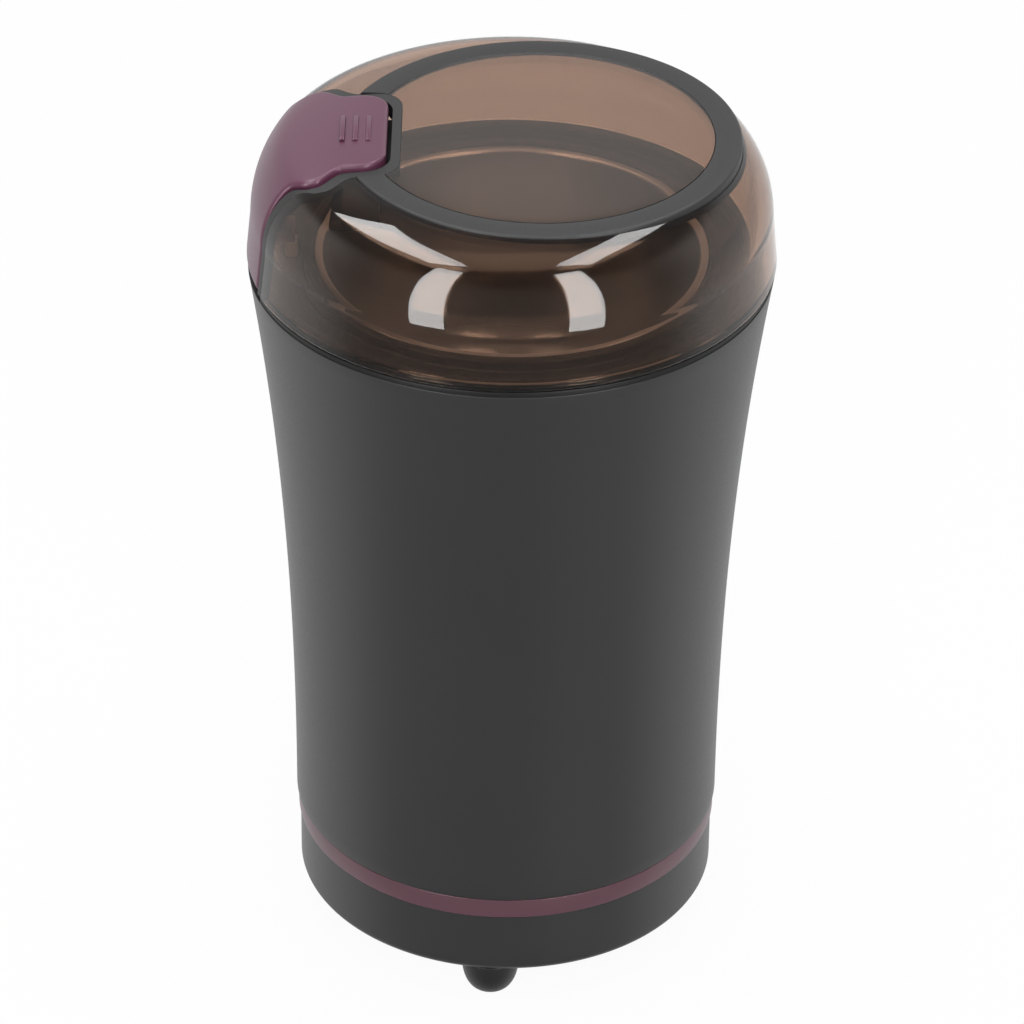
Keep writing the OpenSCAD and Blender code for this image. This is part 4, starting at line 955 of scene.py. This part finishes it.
class GRINDER_OT_button(bpy.types.Operator):
    """Makes the push button: a skin that runs over the lid's top and down its side"""

    bl_idname = "grinder.button"
    bl_label = "Push button"

    def rows(self):
        """Lines across the button from its tip to its lower edge: reach, height, bend of the line."""
        s = sizes()
        lines = []
        for i in range(15):
            back = s.tip_corner * (1 - math.cos(math.pi / 2 * i / 14))
            lines.append((s.tip_x + back, None, 0.0))
        first, straight = s.tip_x + s.tip_corner, 28 * MM
        for i in range(1, 25):
            reach = first + (s.shoulder_r - first) * i / 24
            lines.append((reach, None, smooth((reach - straight) / (s.shoulder_r - straight))))
        lines += [(r, z, 1.0) for r, z in shoulder(0, -s.button_proud, 28)[-2::-1]]
        side_r, side_z = lines[-1][:2]
        low_z = LID_LOW + s.plate_raise
        low_r = s.lid_r - s.lid_draft * (low_z - LID_LOW) / (SEAM + s.shoulder_h - LID_LOW)
        for i in range(1, 17):
            t = math.sin(math.pi / 2 * i / 16)
            lines.append((side_r + (low_r - side_r) * t, side_z + (low_z - side_z) * t, 1.0))
        return lines

    def execute(self, context):
        s = sizes()
        lines = self.rows()
        across = 25
        bm = bmesh.new()
        bmesh.ops.create_grid(bm, x_segments=2 * across, y_segments=len(lines) - 1, size=1)
        margin = {}
        for v in bm.verts:
            k = min(round((v.co.y + 1) / 2 * (len(lines) - 1)), len(lines) - 1)
            share = math.sin(math.pi / 2 * v.co.x)
            reach, height, bend = lines[k]
            y = 0.0
            for _ in range(6):
                x = math.sqrt(max(reach * reach - bend * y * y, 1e-9))
                y = share * button_half(x - s.tip_x)
            x = math.sqrt(max(reach * reach - bend * y * y, 1e-9))
            top = LID_TOP + s.button_proud if height is None else height
            z = soft_min(top, top_fall(-x, y, -s.button_proud), s.crease)
            half = button_half(x - s.tip_x)
            low = abs(z - (LID_LOW + s.plate_raise)) if k > len(lines) - 18 else 1.0
            margin[v] = min((1 - abs(share)) * half, x - s.tip_x if k < 30 else 1.0, low)
            v.co = (-x, y, z)
        bmesh.ops.recalc_face_normals(bm, faces=bm.faces)
        if sum(f.normal.z for f in bm.faces) < 0:
            bmesh.ops.reverse_faces(bm, faces=bm.faces)
        bm.normal_update()
        skin = list(bm.verts)
        rim = [e for e in bm.edges if e.is_boundary]
        copy = bmesh.ops.duplicate(bm, geom=list(bm.verts) + list(bm.edges) + list(bm.faces))
        clear = s.spigot_r + 0.35 * MM
        for v in skin:
            under = copy["vert_map"][v]
            under.co = v.co - v.normal * s.button_t
            under.co.z = max(under.co.z, LID_LOW + s.plate_raise)
            out = math.hypot(under.co.x, under.co.y)
            if under.co.z < SEAM + s.spigot_h + 2 * MM and out < clear:
                under.co.x *= clear / out
                under.co.y *= clear / out
        edge = s.button_edge
        for v in skin:
            away = max(margin[v], 0)
            if away < edge:
                v.co -= v.normal * (edge - math.sqrt(max(0, edge * edge - (edge - away) ** 2)))
        bmesh.ops.bridge_loops(bm, edges=rim + [copy["edge_map"][e] for e in rim])
        rod(bm, (STEM_X, 0), YOKE, LID_TOP - 1.2 * MM, 2.2 * MM, 32)
        # The foot that comes down on the switch rod, and the grip bars on the tip
        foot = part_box("switch_rod")[1].z + 0.3 * MM
        block(bm, (-48.2 * MM, -3.2 * MM, foot), (-40.2 * MM, 3.2 * MM, foot + 2.4 * MM), 0.3 * MM)
        top = LID_TOP + s.button_proud
        bar_x, bar_y = 0.5 * MM, 4.5 * MM
        for i in range(3):
            x = -s.tip_x - (3.4 + 2.4 * i) * MM
            block(bm, (x - bar_x, -bar_y, top - 0.2 * MM), (x + bar_x, bar_y, top + 0.29 * MM), 0.22 * MM)
        piece("push_button", bm, "plum", "button")
        dressed("button_screw", "zinc", "button", 0.25 * MM)
        return {"FINISHED"}


class GRINDER_OT_springs(bpy.types.Operator):
    """Makes the springs of the button, the switch rod and the brushes"""

    bl_idname = "grinder.springs"
    bl_label = "Springs"

    def execute(self, context):
        low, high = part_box("rod_spring")
        self.spring("button_spring", "lid", "button_press", STEM_X, 3.2 * MM, 0.35 * MM, 4)
        self.spring("rod_spring", "housing", "rod_slide", (low.x + high.x) / 2, 2.15 * MM, 0.25 * MM, 5)
        dressed("brush_springs", "zinc", "housing", 0, SPRING_SHARP)
        return {"FINISHED"}

    def spring(self, node, body, joint, x, mean_r, wire_r, curls):
        """A coil as tall as its node, wound up from its foot."""
        low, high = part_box(node)
        foot = Vector((x, 0, low.z))
        tall = high.z - low.z
        obj = piece(node, coil(foot, mean_r, wire_r, curls, tall), "zinc", body, SPRING_SHARP)
        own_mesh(obj)


class GRINDER_OT_inside(bpy.types.Operator):
    """Finishes the motor, the switch and the fasteners"""

    bl_idname = "grinder.inside"
    bl_label = "Inside pieces"

    def execute(self, context):
        dressed("cord_gland", "rubber", "housing", 0.2 * MM)
        dressed("base_screws", "zinc", "housing", 0.3 * MM)
        dressed("switch_rod", "nylon", "rod", 0.2 * MM)
        dressed("lead_wires", "wire", "housing", 0, SPRING_SHARP)
        kept = {
            "zinc": ("carrier_screws", "motor_screws", "motor_shaft", "switch_leaf"),
            "bronze": ("upper_bush", "lower_bush"),
            "brass": ("brush_holders", "switch_terminals"),
            "copper": ("field_coils", "armature_windings", "commutator"),
            "iron": ("stator_core", "armature_core"),
            "carbon": ("carbon_brushes",),
            "nylon": ("thrust_washers",),
            "red": ("switch_plunger",),
            "ring": ("motor_carrier", "lower_bracket", "switch_bracket"),
            "collar": ("switch_case",),
        }
        for key, nodes in kept.items():
            for node in nodes:
                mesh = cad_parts[node].data
                mesh.materials.clear()
                mesh.materials.append(FINISHES[key])
        return {"FINISHED"}


class GRINDER_OT_stage(bpy.types.Operator):
    """Sets the floor, the light and the camera"""

    bl_idname = "grinder.stage"
    bl_label = "Stage"

    def execute(self, context):
        scene = context.scene
        scene.view_settings.view_transform = "Standard"
        self.floor()
        self.world(scene)
        self.lights()
        self.camera(scene)
        return {"FINISHED"}

    def floor(self):
        """The pale floor: lit white where the camera sees it, with a share left for the shadow."""
        bm = bmesh.new()
        bmesh.ops.create_grid(bm, x_segments=1, y_segments=1, size=6)
        floor = new_object("floor", bm)
        material = bpy.data.materials.new("pale paper sweep")
        tree = empty_tree(material)
        ray = add_node(tree, "ShaderNodeLightPath").outputs
        paper = add_node(tree, "ShaderNodeBsdfDiffuse", {"Color": list(finish().floor)}).outputs["BSDF"]
        glow = add_node(tree, "ShaderNodeEmission", {"Color": WHITE, "Strength": 1.0}).outputs["Emission"]
        share = maths(tree, "MULTIPLY", ray["Is Camera Ray"], 0.95)
        add_node(tree, "ShaderNodeOutputMaterial", {"Surface": mix_shaders(tree, share, paper, glow)})
        floor.data.materials.append(material)
        floor.visible_glossy = False

    def world(self, scene):
        """White all round: even for soft light, darker in front and overhead for what the gloss mirrors."""
        scene.world = bpy.data.worlds.new("studio")
        tree = empty_tree(scene.world)
        ray = add_node(tree, "ShaderNodeLightPath").outputs
        way = add_node(tree, "ShaderNodeTexCoord").outputs["Generated"]
        apart = add_node(tree, "ShaderNodeSeparateXYZ", {"Vector": way})
        fades = [
            map_range(tree, apart.outputs[axis], *ends, interpolation_type="SMOOTHSTEP")
            for axis, *ends in (("Y", -0.45, 0.1, 0.3, 1.0), ("Z", 0.42, 0.68, 1.0, 0.25))
        ]
        soft_light = 0.42
        mirrored, soft, white = (
            add_node(tree, "ShaderNodeBackground", {"Color": WHITE, "Strength": value}).outputs["Background"]
            for value in (maths(tree, "MULTIPLY", *fades), soft_light, 1.0)
        )
        gloss = maths(tree, "MAXIMUM", ray["Is Glossy Ray"], ray["Is Transmission Ray"])
        light = mix_shaders(tree, gloss, soft, mirrored)
        seen = mix_shaders(tree, ray["Is Camera Ray"], light, white)
        add_node(tree, "ShaderNodeOutputWorld", {"Surface": seen})

    def lights(self):
        """Soft light from above and in front, and the window and bank panels that the lid mirrors."""
        soft = self.panel("overhead", (0.0, 0.1, 1.5), (0, 0, 0.1), 1.2, 1.2, 9.5)
        soft.visible_glossy = False
        fill = self.panel("front_fill", (0.0, -1.6, 1.2), (0, 0, 0.1), 1.4, 1.0, 18.0)
        fill.visible_glossy = fill.visible_transmission = False
        for side, name in ((-1, "left"), (1, "right")):
            turn = math.radians(34.5 if side < 0 else 31)
            away, height = 1.12, 0.66
            spot = (side * away * math.sin(turn), -away * math.cos(turn), height)
            upright = self.panel(name + "_window", spot, (0, 0, height), 0.29, 1.74, 15.0)
            upright.visible_diffuse = False
            spot = Vector((side * 0.4, 0.2, SEAM + 1.0))
            along = self.panel(name + "_bank", spot, spot - Vector((0, 0, 1)), 0.27, 1.3, 9.0)
            along.visible_diffuse = False

    def camera(self, scene):
        """The camera fitted to the photo's circles: a long lens, looking down, with a slight roll."""
        focal_px, image_px = 5668, 1024
        camera = bpy.data.objects.new("camera", bpy.data.cameras.new("camera"))
        scene.collection.objects.link(camera)
        camera.data.sensor_width = 36.0
        camera.data.lens = focal_px / image_px * camera.data.sensor_width
        camera.data.clip_end = 50
        down, roll = math.radians(32.95), math.radians(0.65)
        turn = Matrix.Rotation(math.pi / 2 - down, 4, "X") @ Matrix.Rotation(roll, 4, "Z")
        camera.matrix_world = Matrix.Translation((0.0006, -0.9044, SEAM + 0.5296)) @ turn
        scene.camera = camera

    def panel(self, name, spot, aim, wide, tall, power):
        """A soft light panel at a spot, turned towards an aim."""
        lamp = bpy.data.lights.new(name, "AREA")
        lamp.shape = "RECTANGLE"
        lamp.size, lamp.size_y, lamp.energy = wide, tall, power
        obj = bpy.data.objects.new(name, lamp)
        obj.location = spot
        obj.rotation_euler = (Vector(aim) - Vector(spot)).to_track_quat("-Z", "Y").to_euler()
        obj.visible_camera = False
        bpy.context.scene.collection.objects.link(obj)
        return obj


class GRINDER_PT_panel(bpy.types.Panel):
    """Lists the steps that build the grinder's looks"""

    bl_idname = "GRINDER_PT_panel"
    bl_label = "Coffee grinder"
    bl_space_type = "VIEW_3D"
    bl_region_type = "UI"
    bl_category = "Grinder"

    def draw(self, context):
        for step in STEPS:
            self.layout.operator(step.bl_idname)
        for group in (context.scene.grinder_sizes, context.scene.grinder_finish):
            for key in type(group).__annotations__:
                self.layout.prop(group, key)


STEPS = (
    GRINDER_OT_finishes, GRINDER_OT_body, GRINDER_OT_base, GRINDER_OT_feet, GRINDER_OT_bowl,
    GRINDER_OT_blade, GRINDER_OT_lid, GRINDER_OT_guide, GRINDER_OT_button, GRINDER_OT_springs,
    GRINDER_OT_inside, GRINDER_OT_stage,
)
CLASSES = (GrinderSizes, GrinderFinish, *STEPS, GRINDER_PT_panel)


def register():
    for cls in CLASSES:
        bpy.utils.register_class(cls)
    bpy.types.Scene.grinder_sizes = bpy.props.PointerProperty(type=GrinderSizes)
    bpy.types.Scene.grinder_finish = bpy.props.PointerProperty(type=GrinderFinish)


def unregister():
    del bpy.types.Scene.grinder_finish
    del bpy.types.Scene.grinder_sizes
    for cls in reversed(CLASSES):
        bpy.utils.unregister_class(cls)


def main():
    register()
    for step in STEPS:
        group, name = step.bl_idname.split(".")
        getattr(getattr(bpy.ops, group), name)()


if __name__ == "__main__":
    main()
